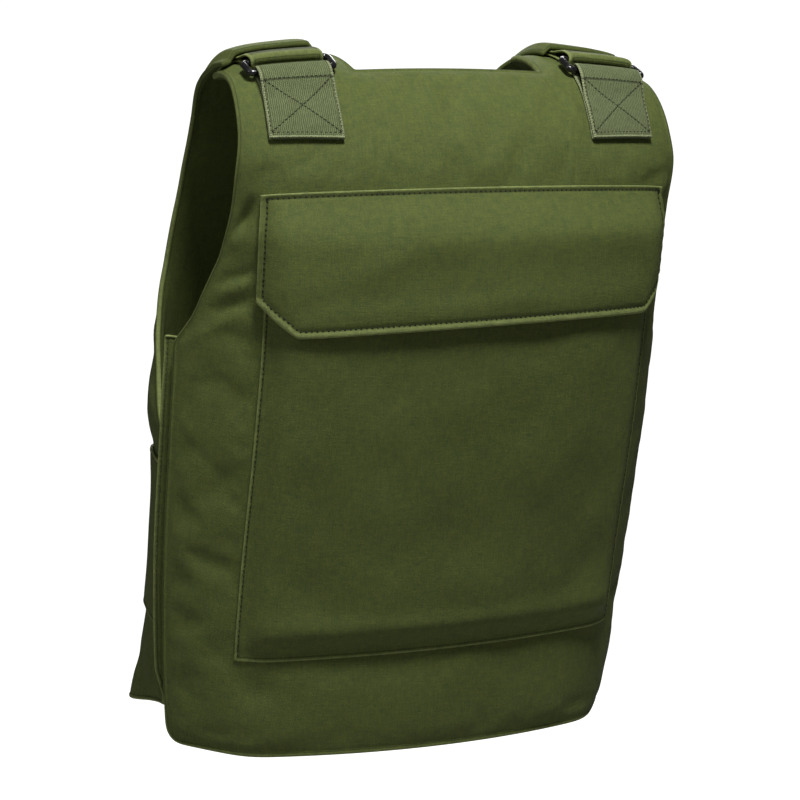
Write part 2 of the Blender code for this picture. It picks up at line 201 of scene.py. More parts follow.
# The section of a piece of cloth with a folded edge, and of one with a hem, as shares of its thickness
FOLD_SECTION = (
    # from_edge, thickness_share
    (0.0000, 0.60),
    (0.0012, 1.45),
    (0.0024, 0.50),
    (0.0037, 0.95),
    (0.0064, 1.00),
    (0.0100, 1.05),
)
FOLD_SEAM = 0.0025
FOOT_PRESSED = 0.60
HEM_SECTION = (
    # from_edge, thickness_share
    (0.0000, 0.90),
    (0.0012, 1.30),
    (0.0024, 1.30),
    (0.0037, 1.26),
    (0.0050, 0.45),
    (0.0064, 1.10),
    (0.0100, 1.15),
)
HEM_SEAM = 0.0049
TOP_SEAM = 0.0030
FLAP_SWELL = 0.0014
FLAP_FLARE = 0.0026

# How wide a band along an edge is painted paler, as wear and as a painted highlight, and how many such
# widths are added to the distance from a panel's edge where it shows little wear and less highlight
PANEL_WORN = 0.0025
NEW_EDGE = 0.55
FOLD_WORN = 0.0022

# The flap's distances as such widths: its lower hem is painted paler all over, as wear and as a painted
# highlight where the hem catches the light, and its sides only along the fold; a width near 1.3 puts painted
# shade in the groove of the stitches
FLAP_WEAR_AND_PAINTED_LIGHT = (
    # widths, from_low, from_side, from_top
    (0.00, 0.0000, 0.0000, 0.0000),
    (0.55, 0.0034, 0.0008, 0.0011),
    (1.00, 0.0043, 0.0016, 0.0018),
    (1.06, 0.0045, 0.0044, 0.0020),
    (1.30, 0.0049, 0.0049, 0.0030),
    (1.45, 0.0055, 0.0052, 0.0046),
    (2.20, 0.0080, 0.0080, 0.0060),
)

# Soft dents and ridges of the back, given one by one
CREASES = (
    # across, way, degrees, length, width, height
    (0.1615, 0.3780, 125, 0.013, 0.0034, -0.0080),
    (0.1680, 0.3740, 125, 0.012, 0.0034, 0.0016),
    (0.1690, 0.3590, 150, 0.007, 0.0034, 0.0020),
    (0.1640, 0.3335, 157, 0.016, 0.0045, -0.0030),
    (0.1670, 0.3250, 150, 0.014, 0.0042, 0.0022),
    (0.1660, 0.3130, 154, 0.020, 0.0048, -0.0030),
    (0.1720, 0.3010, 150, 0.020, 0.0065, 0.0018),
    (-0.1400, 0.4020, 157, 0.016, 0.0040, -0.0024),
    (-0.1500, 0.3920, 150, 0.018, 0.0050, 0.0016),
    (0.0780, 0.4305, 95, 0.008, 0.0022, -0.0016),
    (0.0780, 0.4780, 115, 0.012, 0.0025, -0.0010),
    (0.0550, 0.0480, 30, 0.050, 0.0160, 0.0012),
    (-0.0450, 0.0420, 20, 0.050, 0.0180, 0.0012),
    (0.1750, 0.1050, 80, 0.060, 0.0110, 0.0010),
    (-0.1800, 0.1600, 95, 0.070, 0.0120, -0.0010),
    (0.1800, 0.2300, 84, 0.050, 0.0100, -0.0010),
)

# The pocket's and the flap's own soft forms
POCKET_FOLDS = (
    # across, way, degrees, length, width, height
    (0.0000, 0.0985, -1.8, 0.140, 0.0065, 0.0017),
    (0.0000, 0.1250, 6, 0.110, 0.0200, 0.0014),
    (0.0800, 0.2000, 70, 0.080, 0.0220, 0.0012),
    (-0.0700, 0.2300, 108, 0.080, 0.0260, 0.0012),
    (0.0200, 0.2700, 160, 0.060, 0.0180, -0.0010),
    (0.1050, 0.1200, 40, 0.040, 0.0120, -0.0010),
    (-0.1050, 0.1250, 140, 0.040, 0.0130, -0.0010),
)
FLAP_FOLDS = (
    # across, way, degrees, length, width, height
    (0.0750, 0.3440, 160, 0.055, 0.0100, 0.0014),
    (-0.0200, 0.3580, 178, 0.060, 0.0110, 0.0012),
    (-0.0900, 0.3620, 182, 0.045, 0.0110, 0.0010),
    (0.1215, 0.3100, 90, 0.014, 0.0030, -0.0008),
    (0.0300, 0.3250, 175, 0.100, 0.0100, -0.0008),
)

# Waves that keep the panels, the pocket and the flap from lying dead flat
WAVES = (
    # wavelength, degrees, phase, height
    (0.094, 17, 0.4, 0.00035),
    (0.067, 71, 2.1, 0.00030),
    (0.043, 128, 4.0, 0.00018),
    (0.029, 41, 1.1, 0.00010),
)


# The surface that all the cloth lies on


def run_along(points):
    """The distance run along a line of points, up to each of them."""
    return np.concatenate([[0.0], np.cumsum(np.linalg.norm(np.diff(points, axis=0), axis=1))])


def unit(vectors):
    return vectors / np.linalg.norm(vectors, axis=-1, keepdims=True)


def cubic(t, start, end, leaving, landing):
    """The cubic from start to end that leaves and lands along the tangents given, for t from 0 to 1."""
    return (
        (2 * t**3 - 3 * t**2 + 1) * start
        + (t**3 - 2 * t**2 + t) * leaving
        + (3 * t**2 - 2 * t**3) * end
        + (t**3 - t**2) * landing
    )


def smooth(at, knots, values):
    """A smooth curve through a table: cubic pieces whose slopes at the rows are central differences."""
    slopes = np.gradient(values, knots, axis=0)
    at = np.asarray(at, float)
    row = np.clip(np.searchsorted(knots, at, side="right") - 1, 0, len(knots) - 2)
    span = (knots[row + 1] - knots[row])[..., None]
    t = (at - knots[row])[..., None] / span
    return cubic(t, values[row], values[row + 1], slopes[row] * span, slopes[row + 1] * span)


LINE = np.array(CENTRE_LINE)
LINE_WAYS = run_along(LINE[:, :2])

# Where a sum over a stretch from 0 to 1 reads its terms, and how much each weighs
SUM_POINTS = 16
SUM_AT, SUM_WEIGHTS = np.polynomial.legendre.leggauss(SUM_POINTS)
SUM_AT, SUM_WEIGHTS = (SUM_AT + 1) / 2, SUM_WEIGHTS / 2


def way_at(height, front=False):
    """The way of a height on the centre line, at the back or at the front."""
    rows = slice(None, TOP_ROW - 1, -1) if front else slice(0, TOP_ROW + 1)
    return np.interp(height, LINE[rows, 1], LINE_WAYS[rows])


def ease(t):
    """From 0 to 1 with level ends: 3t² - 2t³."""
    t = np.clip(t, 0.0, 1.0)
    return t * t * (3 - 2 * t)


def turn(reach, bow, flank, start):
    """How far the cloth has turned at a reach from the centre line: a steady bow, and more at the flank."""
    return np.radians(bow * reach / BOW_REACH + flank * ease((reach - start) / FLANK_SPAN))


def skin(across, way, lift=0.0):
    """Points on the skin, lifted off it: the sine and cosine of the turn are summed from the centre line
    outwards, which gives how far the cloth has dropped inwards and gone sideways."""
    across, way, lift = np.broadcast_arrays(*(np.asarray(a, float) for a in (across, way, lift)))
    y, z, bow, flank, start = np.moveaxis(smooth(way, LINE_WAYS, LINE), -1, 0)
    ahead = smooth(way + SMALL_STEP, LINE_WAYS, LINE) - smooth(way - SMALL_STEP, LINE_WAYS, LINE)
    ahead = unit(ahead[..., :2])
    reach = np.abs(across)
    turned = turn(reach[..., None] * SUM_AT, bow[..., None], flank[..., None], start[..., None])
    end = turn(reach, bow, flank, start)
    x = across * (SUM_WEIGHTS * np.cos(turned)).sum(-1) + lift * np.sign(across) * np.sin(end)
    drop = reach * (SUM_WEIGHTS * np.sin(turned)).sum(-1) - lift * np.cos(end)
    return np.stack([x, y - drop * ahead[..., 1], z + drop * ahead[..., 0]], -1)


def table(rows):
    """A table as an array of its columns."""
    return np.array(rows, float).T


def read_table(rows, at):
    """The later columns of a table, read at places in its first, along straight lines between its rows."""
    first, *later = table(rows)
    return [np.interp(at, first, column) for column in later]


def stretch(stops, steps):
    """Ways from stop to stop, each stretch cut into its own number of equal steps."""
    ways = [stops[:1]]
    for low, high, count in zip(stops, stops[1:], steps):
        ways.append(np.linspace(low, high, count + 1)[1:])
    return np.concatenate(ways)


def between(low, high, step):
    """Stations from low to high: close together beside each end, and about a step apart between. Low and
    high may be columns, and then each row has its own stations."""
    low, high = (np.asarray(a, float)[..., None] for a in (low, high))
    start, end = low + CLOSE, high - CLOSE[::-1]
    count = max(int(round(float((end[..., 0] - start[..., -1]).max()) / step)), 2)
    middle = start[..., -1:] + (end[..., :1] - start[..., -1:]) * np.linspace(0, 1, count + 1)[1:-1]
    return np.concatenate([start, middle, end], axis=-1)


def arched(across, half):
    """How far a lower edge rises above its ends: a parabola across the piece."""
    return EDGE_ARCH * (1 - (across / half) ** 2)


def drawn_in(from_hem, radius):
    """How far a quarter circle draws the arm edge in over the last stretch before the hem."""
    left = np.clip(radius - from_hem, 0.0, radius)
    return radius - np.sqrt(radius**2 - left**2)


def relief(rows, across, way):
    """Ridges and dents from a table: each is its height times a bell along it and a bell across it."""
    total = np.zeros(np.broadcast(across, way).shape)
    for centre, centre_way, degrees, length, width, height in rows:
        turned = math.radians(degrees)
        aside, ahead = across - centre, way - centre_way
        along = aside * math.cos(turned) + ahead * math.sin(turned)
        off = ahead * math.cos(turned) - aside * math.sin(turned)
        total = total + height * np.exp(-((along / length) ** 2) - (off / width) ** 2)
    return total


def waves(across, way, phase=0.0):
    """Long low waves: a sum of sines, each with its own wavelength and direction."""
    total = 0.0
    for length, degrees, own_phase, height in WAVES:
        run = across * math.cos(math.radians(degrees)) + way * math.sin(math.radians(degrees))
        total = total + height * np.sin(2 * math.pi * run / length + own_phase + phase)
    return total


# Meshes


def mesh_piece(name, points, faces, finish):
    mesh = bpy.data.meshes.new(name)
    mesh.from_pydata(points.tolist(), [], faces.tolist())
    mesh.materials.append(finish)
    mesh.shade_smooth()
    piece = bpy.data.objects.new(name, mesh)
    bpy.context.scene.collection.objects.link(piece)
    return piece


def quads_of(rows, columns, kept=None, closed=False):
    """The faces of a grid of points, with their sides in the order that turns them to its outer side."""
    index = np.arange(rows * columns).reshape(rows, columns)
    if closed:
        index = np.concatenate([index, index[:, :1]], axis=1)
    corners = np.stack([index[:-1, :-1], index[1:, :-1], index[1:, 1:], index[:-1, 1:]], -1)
    return corners[kept] if kept is not None else corners.reshape(-1, 4)


def shell(node, look, outer, inner, plan, from_edge, kept=None):
    """The piece that replaces a node: a closed shell of cloth over one grid, with the outer face, the inner
    face turned round, and a strip that joins them along every open edge. `plan` is each point's place on the
    uncut cloth, and `from_edge` its distance from the edge, in widths of the band that is painted paler as
    wear and as a highlight; some pieces set it to place painted highlights and painted shade."""
    finish, suffix, slot = look
    rows, columns = outer.shape[:2]
    quads = quads_of(rows, columns, kept)
    used = np.unique(quads)
    quads = np.searchsorted(used, quads)
    count = len(used)
    start, end = quads.ravel(), np.roll(quads, -1, axis=1).ravel()
    open_edge = ~np.isin(start * count + end, end * count + start)
    start, end = start[open_edge], end[open_edge]
    strip = np.stack([end, start, start + count, end + count], -1)
    faces = np.concatenate([quads, quads[:, ::-1] + count, strip])
    points = np.concatenate([outer.reshape(-1, 3)[used], inner.reshape(-1, 3)[used]])
    piece = mesh_piece(f"{node}_{suffix}", points, faces, finish)
    plan = np.tile(np.stack(np.broadcast_arrays(*plan), -1).reshape(-1, 2)[used], (2, 1))
    piece.data.uv_layers.new(name="plan").data.foreach_set("uv", plan[faces.ravel()].ravel())
    band = np.tile(np.broadcast_to(from_edge, (rows, columns)).ravel()[used], 2)
    piece.data.attributes.new("from_edge", "FLOAT", "POINT").data.foreach_set("value", band)
    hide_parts(node)
    return piece, used


def facing(points):
    """The outward direction at each point of a grid: its step down the rows crossed with that along them."""
    return unit(np.cross(np.gradient(points, axis=0), np.gradient(points, axis=1)))


def soften(piece):
    """One step of subdivision, the same in the viewport as in a render."""
    subdivision = piece.modifiers.new("soften", "SUBSURF")
    subdivision.levels = subdivision.render_levels = 1
    return piece


# Stitches


STITCH_PITCH = 0.0035
STITCH_LENGTH = 0.0025
STITCH_WIDTH = 0.0007
STITCH_PROUD = 0.00030
SMALL_LIFT = 0.001
STITCH_CORNERS = (45, 135, 225, 315)
STITCH_GRAIN = (
    # along, swell
    (-0.50, 0.35),
    (-0.25, 1.00),
    (0.25, 1.00),
    (0.50, 0.35),
)


def outward(across, way, lift):
    """Points on the skin, and the direction off it at each, which is also how a line to be sewn is given."""
    points = skin(across, way, lift)
    return points, skin(across, way, lift + SMALL_LIFT) - points


def stitching(node, seams, thread, pitch=STITCH_PITCH, length=STITCH_LENGTH, width=STITCH_WIDTH):
    """All the stitches of a piece as one mesh. They stand a pitch apart along each seam, and each is a small
    grain: four rings of four points, wide in the middle and narrow at its sunk ends."""
    places, tangents, ups = [], [], []
    for points, up in seams:
        run = run_along(points)
        count = max(int(run[-1] / pitch), 1)
        at = (np.arange(count) + 0.5) * run[-1] / count

        def read(run_at, values):
            return np.stack([np.interp(run_at, run, column) for column in values.T], -1)

        places.append(read(at, points))
        tangents.append(read(at + length / 4, points) - read(at - length / 4, points))
        ups.append(read(at, up))
    place, tangent, up = (np.concatenate(a) for a in (places, tangents, ups))
    tangent = unit(tangent)
    side = unit(np.cross(tangent, up))
    up = np.cross(side, tangent)
    along, swell = table(STITCH_GRAIN)
    turned = np.radians(STITCH_CORNERS)
    aside, proud = (swell[:, None] * turn_of(turned) * width / 2 for turn_of in (np.cos, np.sin))
    sunk = ((1 - swell) * width / 2)[:, None]
    offset = (
        tangent[:, None, None] * (along * length)[:, None, None]
        + side[:, None, None] * aside[..., None]
        + up[:, None, None] * (proud - sunk)[..., None]
    )
    points = (place[:, None, None] + offset).reshape(-1, 3)
    index = np.arange(len(along) * len(turned)).reshape(len(along), -1)
    one = np.concatenate([quads_of(*index.shape, closed=True), index[:1], index[-1:, ::-1]])
    faces = (np.arange(len(place))[:, None, None] * index.size + one).reshape(-1, 4)
    piece = mesh_piece(f"{node}_stitching", points, faces, thread)
    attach(piece, "root")
    return piece


# Materials


class Wire:
    """An output of a material's nodes that can be added, multiplied and so on as a number can."""

    def __init__(self, tree, socket=None):
        self.tree, self.socket = tree, socket

    def node(self, kind, settings=(), inputs=(), output=0):
        """A new node of a kind: its settings are set first, and then the values or wires of its sockets."""
        made = self.tree.nodes.new(kind)
        for key, value in dict(settings).items():
            setattr(made, key, value)
        for key, value in dict(inputs).items():
            if isinstance(value, Wire):
                self.tree.links.new(value.socket, made.inputs[key])
            else:
                made.inputs[key].default_value = value
        return Wire(self.tree, made.outputs[output])

    def math(self, operation, *values, clamp=False):
        settings = {"operation": operation, "use_clamp": clamp}
        return self.node("ShaderNodeMath", settings, dict(enumerate(values)))

    def __add__(self, other):
        return self.math("ADD", self, other)

    __radd__ = __add__

    def __mul__(self, other):
        return self.math("MULTIPLY", self, other)

    __rmul__ = __mul__

    def __sub__(self, other):
        return self.math("SUBTRACT", self, other)

    def __rsub__(self, other):
        return self.math("SUBTRACT", other, self)

    def sine(self):
        return self.math("SINE", self)

    def size(self):
        return self.math("ABSOLUTE", self)

    def held(self):
        """The value held between 0 and 1."""
        return self.math("ADD", self, 0.0, clamp=True)

    def near(self, place, steepness):
        """1 at that value, falling off to 0 on both sides of it."""
        return (1.0 - (self - place).size() * steepness).held()

    def noise(self, scale, detail=3.0, roughness=0.55):
        """Noise of that scale at this place, from 0 to 1."""
        values = {"Vector": self, "Scale": scale, "Detail": detail, "Roughness": roughness}
        return self.node("ShaderNodeTexNoise", (), values)

    def mixed(self, low, high):
        """The colour that lies this share of the way from low to high."""
        return self.node("ShaderNodeMix", {"data_type": "RGBA"}, {0: self, 6: low, 7: high}, output=2)

    def tinted(self, colour):
        """This colour times another."""
        settings = {"data_type": "RGBA", "blend_type": "MULTIPLY"}
        return self.node("ShaderNodeMix", settings, {0: 1.0, 6: self, 7: colour}, output=2)

    def grey(self):
        """This number as a colour."""
        return self.node("ShaderNodeCombineColor", (), {0: self, 1: self, 2: self})


def finish_of(name):
    """A new material, the shader in it, and the place in space as a wire to start from."""
    made = bpy.data.materials.new(name)
    made.use_nodes = True
    space = Wire(made.node_tree).node("ShaderNodeTexCoord", output="Object")
    return made, made.node_tree.nodes["Principled BSDF"], space


def on_cloth(start):
    """The place on the uncut cloth, across and along it, and the distance from its edge in pale band widths,
    which also places painted highlight and painted shade.
    """
    plan = start.node("ShaderNodeUVMap", {"uv_map": "plan"})
    across, way = (start.node("ShaderNodeSeparateXYZ", (), {0: plan}, output=axis) for axis in (0, 1))
    return across, way, start.node("ShaderNodeAttribute", {"attribute_name": "from_edge"}, output="Fac")


def connect(shader, colour, roughness, height, bump_distance, steady):
    """The shader's colour, roughness and bump, and its values that don't vary."""
    bump = colour.node("ShaderNodeBump", (), {"Height": height, "Distance": bump_distance, "Strength": 1.0})
    for key, wire in (("Base Color", colour), ("Roughness", roughness), ("Normal", bump)):
        colour.tree.links.new(wire.socket, shader.inputs[key])
    for key, value in steady.items():
        shader.inputs[key].default_value = value


WEAVE_PITCH = 0.0009
SLUB_WIDE = 950.0
SLUB_LONG = 85.0
YARN_STRAYS = 0.0016
WEAVE_GROOVE = 1.3
WEAVE_NOISES = (
    # scale, detail, roughness
    (2100.0, 2.0, 0.55),
    (1050.0, 2.0, 0.70),
    (210.0, 5.0, 0.65),
    (13.0, 3.0, 0.55),
)
OLIVE_GREEN = (0.074, 0.108, 0.034, 1.0)
OLIVE_YELLOW = (0.118, 0.136, 0.027, 1.0)
# Edges and hems are drawn towards this pale colour: partly wear, partly a painted highlight where they catch
# the light
OLIVE_WEAR_AND_HIGHLIGHT = (0.295, 0.345, 0.122, 1.0)


def olive_weave():
    """Plain weave: each yarn is a half sine across its pitch, warp over weft on every other crossing. Noise
    drawn out along the yarns gives them thick and thin places, rounder noise mottles the colour, and the
    turned edges are painted paler, partly as wear and partly as a painted highlight, with painted shade in
    the groove of their stitches."""
    made, shader, space = finish_of("olive_weave")
    across, way, edge = on_cloth(space)
    stray = (space.noise(310.0, 3.0) - 0.5) * YARN_STRAYS
    warp = ((across + stray) * (math.pi / WEAVE_PITCH)).sine()
    weft = ((way - stray) * (math.pi / WEAVE_PITCH)).sine()
    pillow = (warp * weft).size()
    drawn_out = [
        space.node("ShaderNodeCombineXYZ", (), {0: across * fast, 1: way * slow}).noise(1.0, 2.0)
        for fast, slow in ((SLUB_WIDE, SLUB_LONG), (SLUB_LONG, SLUB_WIDE))
    ]
    slub = drawn_out[0] + drawn_out[1]
    fine, speck, middle, broad = (space.noise(*layer) for layer in WEAVE_NOISES)
    # Painted paler along the edges, as wear and as a painted highlight, and darkened by painted shade in the
    # groove of the stitches
    pale_edge_and_painted_light = ((1.0 - edge) * 1.7).held() * (0.35 + 0.8 * middle)
    painted_groove_shade = edge.near(WEAVE_GROOVE, 4.0)
    tone = 0.24 * broad + 0.34 * middle + 0.58 * speck + 0.32 * fine + 0.32 * slub + 0.05 * pillow - 0.09
    tone = tone * (1.0 - 0.55 * painted_groove_shade)
    yellow = (1.2 * speck + 0.9 * middle + 0.5 * slub - 1.05).held()
    colour = (pale_edge_and_painted_light * 0.8).mixed(yellow.mixed(OLIVE_GREEN, OLIVE_YELLOW), OLIVE_WEAR_AND_HIGHLIGHT).tinted(tone.grey())
    height = 0.24 * pillow + 0.5 * fine + 1.0 * speck + 0.9 * middle
    steady = {"Sheen Weight": 0.04, "Sheen Roughness": 0.6, "Specular IOR Level": 0.22}
    steady["Sheen Tint"] = (0.75, 0.85, 0.40, 1.0)
    connect(shader, colour, 0.66 + 0.22 * fine, height, 0.00030, steady)
    return made


RIB_PITCH = 0.0013
PICK_PITCH = 0.0011
PICK_STEP = 2.4
LADDER_PITCH = 1.6 * PICK_PITCH
SELVEDGE = 0.0020
SELVEDGE_GROOVE = 1.25
WEBBING_NOISES = (
    # scale, detail, roughness
    (900.0, 2.0, 0.55),
    (430.0, 3.0, 0.70),
    (110.0, 4.0, 0.55),
)
WEBBING_DARK = (0.054, 0.070, 0.029, 1.0)
WEBBING_GREEN = (0.185, 0.222, 0.098, 1.0)
SELVEDGE_PALE = (0.330, 0.370, 0.195, 1.0)

# The box with a cross in it that is sewn through the webbing, measured from its end and its middle line
BOX_FROM = 0.0040
BOX_TO = 0.0425
BOX_HALF = 0.0232
CROSS_STITCHES = 20
CROSS_PITCH = (BOX_TO - BOX_FROM) / CROSS_STITCHES


def ribbed_webbing():
    """Ribs along the webbing: a half sine across each rib, crossed by short picks that step from rib to rib.
    The selvedge is paler, with coarser picks across it and painted shade in the groove beside it, and the
    sewn cross is drawn in as a groove darkened with painted shade: its darkness falls off with the distance
    from each of its straight lines, and rises and falls from stitch to stitch along the cross."""
    made, shader, space = finish_of("ribbed_webbing")
    across, way, edge = on_cloth(space)
    stray = (space.noise(230.0, 3.0) - 0.5) * YARN_STRAYS
    rib_sine = ((across + stray) * (math.pi / RIB_PITCH)).sine()
    rib = rib_sine.size()
    pick = ((way + stray) * (2 * math.pi / PICK_PITCH) + rib_sine * PICK_STEP).sine()
    ladder = (way * (math.pi / LADDER_PITCH)).sine().size()
    fine, speck, middle = (space.noise(*layer) for layer in WEBBING_NOISES)
    selvedge = ((1.0 - edge) * 5.0).held()
    # Painted shade: a darker line in the groove beside the selvedge
    beside = edge.near(SELVEDGE_GROOVE, 3.6)
    slope = (BOX_TO - BOX_FROM) / (2 * BOX_HALF)
    square = 1 / math.hypot(1, slope)
    rise = (way - (BOX_FROM + BOX_TO) / 2) * square
    run = across * (slope * square)
    crossed = space.math("MINIMUM", (rise - run).size(), (rise + run).size())
    in_box = ((BOX_TO - way) * 2000.0).held()
    # Painted shade in the groove and stitch holes of the sewn cross and of the line across the box's end
    pulled = 0.62 + 0.38 * ((way - BOX_FROM) * (2 * math.pi / CROSS_PITCH) - math.pi / 2).sine()
    cross = (1.0 - crossed * 1100.0).held() * in_box * pulled
    drawn = space.math("MAXIMUM", cross, way.near(BOX_TO, 900.0))
    colour = (0.10 + 0.85 * rib).held().mixed(WEBBING_DARK, WEBBING_GREEN)
    colour = (selvedge * (0.25 + 0.75 * ladder)).held().mixed(colour, SELVEDGE_PALE)
    tone = 0.40 + 0.30 * middle + 0.66 * speck + 0.20 * fine + 0.08 * pick
    colour = colour.tinted((tone * (1.0 - 0.35 * beside) * (1.0 - 0.62 * drawn)).grey())
    height = 0.9 * rib + 0.18 * pick + 0.35 * fine + 0.6 * speck + 0.6 * selvedge * ladder - 1.2 * drawn
    steady = {"Sheen Weight": 0.05, "Sheen Roughness": 0.5, "Specular IOR Level": 0.18}
    connect(shader, colour, 0.74 + 0.18 * fine, height, 0.00045, steady)
    return made


def glossy_plastic():
    """Moulded black plastic: nearly smooth, with faint flow marks and small scuffs that dull it."""
    made, shader, space = finish_of("glossy_plastic")
    flow = space.noise(70.0, 3.0)
    scuff = (space.noise(420.0, 3.0) * 3.2 - 1.6).held()
    colour = scuff.mixed((0.010, 0.010, 0.011, 1.0), (0.028, 0.028, 0.027, 1.0))
    roughness = 0.16 + 0.12 * flow + 0.16 * scuff
    steady = {"Coat Weight": 0.25, "Coat Roughness": 0.12}
    connect(shader, colour, roughness, flow + 0.1 * scuff, 0.00012, steady)
    return made


def sewing_thread(name, dark, light):
    """Twisted thread: a fine noise makes its strands lighter and darker."""
    made, shader, space = finish_of(name)
    twist = space.noise(2400.0, 2.0)
    colour = twist.mixed((*dark, 1.0), (*light, 1.0))
    connect(shader, colour, 0.62 + 0.25 * twist, twist, 0.00015, {"Specular IOR Level": 0.3})
    return made


OLIVE = olive_weave()
PLASTIC = glossy_plastic()
# A look is a finish, the word that the piece's name ends with, and a slot name
CLOTH_LOOK = (OLIVE, "cloth", "olive_cloth")
PADDED_LOOK = (OLIVE, "padded", "olive_cloth")
WEBBING_LOOK = (ribbed_webbing(), "ribbed", "green_webbing")
# The dark thread is near black: its colour paints the shade in the stitch holes as well as the thread
DARK_THREAD_AND_HOLE_SHADE = sewing_thread("dark_thread_and_hole_shade", (0.007, 0.010, 0.004), (0.024, 0.030, 0.014))
OLIVE_THREAD = sewing_thread("olive_thread", (0.045, 0.058, 0.024), (0.105, 0.125, 0.058))


# Padded panels


NECK_STEPS = 13
BACK_STEPS = (52, 40)
SHOULDER_STEPS = 11
FRONT_STEPS = (21, 13, 30)
RELIEF_FADES = 0.006
WAVES_FADE = 0.012

# The padding lies flat where something is sewn on it: how far inside the edge of that piece the seam runs,
# how far from the seam the padding is held, how far past its ends, and over what length the hold fades
POCKET_SEWN_IN = 0.004
POCKET_HELD = 0.014
POCKET_PAST = 0.010
FOOT_HELD = 0.016
FLAP_SEWN_IN = 0.006
FLAP_HELD = 0.014
FLAP_PAST = 0.006
FLAP_FADES = 0.008
WEBBING_PAST = 0.016
WEBBING_FADES = 0.012
SHOULDER_PAST = 0.010
NECK_HELD = 0.020
STRAP_PAST = 0.016
STRAP_FADES = 0.014
STRAP_HELD_DOWN = 0.120
STRAP_TIP_PAST = 0.014
STRAP_TIP_FADES = 0.012
FRONT_HELD_TO = 0.600
FRONT_HELD_FADES = 0.030

# A panel's edges are painted paler, as wear and as a painted highlight, mostly along its hem: the length
# over which that fades out above the hem, and how much plainer still the front's edges over the shoulders
# are
HEM_WEAR_FADES = 0.030
SHOULDER_NEWER = 0.8


def panel_columns(neck, arm, step):
    """Columns of a panel at each row: equal steps from the centre to the neck edge, then close beside the
    neck edge and the arm edge, with equal steps between."""
    centre = neck[:, None] * np.linspace(0, 1, NECK_STEPS + 1)[1:-1]
    right = np.concatenate([centre, between(neck, arm, step)], axis=1)
    return np.concatenate([-right[:, ::-1], np.zeros((len(neck), 1)), right], axis=1)


def from_corner(from_side, from_hem, radius):
    """The distance from two edges that meet in a round corner."""
    into_side, into_hem = radius - from_side, radius - from_hem
    in_corner = (into_side > 0) & (into_hem > 0)
    return np.where(in_corner, radius - np.hypot(into_side, into_hem), np.minimum(from_side, from_hem))


def steepness(ways, edge):
    """The cosine of an edge's slant, which turns a distance across into one square to the edge."""
    return 1 / np.hypot(1, np.gradient(edge, ways))


def panel_grid(rows, ways, from_hem, corner, step, cut):
    """A panel's columns at each row, its neck edge, which faces are kept (all but those between the neck
    edges in the cut rows), and the distance from its arm edge, its hem and the round corner between them."""
    neck, arm = read_table(rows, ways)
    across = panel_columns(neck, arm - drawn_in(from_hem, corner), step)
    middle = np.abs(across[:-1, :-1] + across[:-1, 1:]) / 2
    kept = ~((middle < neck[:-1, None]) & cut((ways[:-1] + ways[1:]) / 2)[:, None])
    from_side = (arm[:, None] - np.abs(across)) * steepness(ways, arm)[:, None]
    return across, neck[:, None], kept, from_corner(from_side, from_hem[:, None], corner)


def padded_panel(node, across, ways, hung, from_edge, wall, raised, kept, folds, sewn, kept_new, blunt=0.0):
    """A padded panel: the section table gives the depth of its two faces beside the edges, and its outer
    face has its own creases and waves wherever nothing is sewn down on it. `sewn` is 1 where the panel is
    held flat, `kept_new` is 1 or more where its edge shows little wear and less painted highlight, and
    `blunt` is 1 where its inner face keeps its full depth up to the edge."""
    outer_depth, inner_depth = read_table(EDGE_SECTION, from_edge)
    inner_depth = inner_depth + (1 - inner_depth) * blunt
    free = ease((from_edge - GROOVE) / WAVES_FADE) * (1 - sewn)
    place = ways + hung
    soft = relief(folds, across, place) * ease((from_edge - GROOVE) / RELIEF_FADES) * (1 - sewn)
    soft = soft + waves(across, place) * free
    outer = skin(across, place, raised - wall * outer_depth + soft)
    inner = skin(across, place, raised - wall * inner_depth)
    # The edge attribute: a pale band of wear and painted highlight at the edge, and painted shade in the
    # groove
    pale_edge_and_painted_light = from_edge / PANEL_WORN + NEW_EDGE * kept_new
    piece, used = shell(node, PADDED_LOOK, outer, inner, (across, place), pale_edge_and_painted_light, kept)
    return piece, (1 - free).ravel()[used]


def back_ways():
    body = stretch((CLOSE[-1], ARMHOLE_CORNER, BACK_NECK - CLOSE[-1]), BACK_STEPS)
    shoulder = np.linspace(BACK_NECK, BACK_END, SHOULDER_STEPS + 1)[1:]
    return np.concatenate([CLOSE[:-1], body, BACK_NECK - CLOSE[-2::-1], shoulder])


def back_hang(across, ways):
    """How far the back's lower edge is moved up: an arch and a slant that fade out above the hem."""
    return (arched(across, BACK_EDGES[0][2]) - HEM_SKEW * across) * ease(1 - ways / HEM_FADES)


def near_line(distance, reach):
    """1 on a line and 0 beyond a reach from it."""
    return 1 - ease(np.abs(distance) / reach)


def sewn_on_back(reach, place, foot):
    """1 where the pocket, the flap or the webbing is sewn on the back, and 0 well away from them."""
    pocket_side = near_line(reach - POCKET_HALF + POCKET_SEWN_IN, POCKET_HELD)
    pocket_side = pocket_side * (place < FLAP_TOP) * (place > POCKET_BOTTOM - POCKET_PAST)
    pocket_foot = near_line(place - foot - POCKET_SEWN_IN, FOOT_HELD) * (reach < POCKET_HALF + POCKET_PAST)
    flap_head = near_line(place - FLAP_TOP + FLAP_SEWN_IN, FLAP_HELD)
    flap_head = flap_head * ease((FLAP_HALF + FLAP_PAST - reach) / FLAP_FADES)
    webbing_foot = ease((place - WEBBING_BOTTOM + WEBBING_PAST) / WEBBING_FADES)
    on_shoulder = webbing_foot * ease((reach - SHOULDER_FROM + SHOULDER_PAST) / SHOULDER_PAST)
    on_neck = ease((place - BACK_NECK + NECK_HELD / 2) / NECK_HELD)
    return np.maximum.reduce([pocket_side, pocket_foot, flap_head, on_shoulder, on_neck])


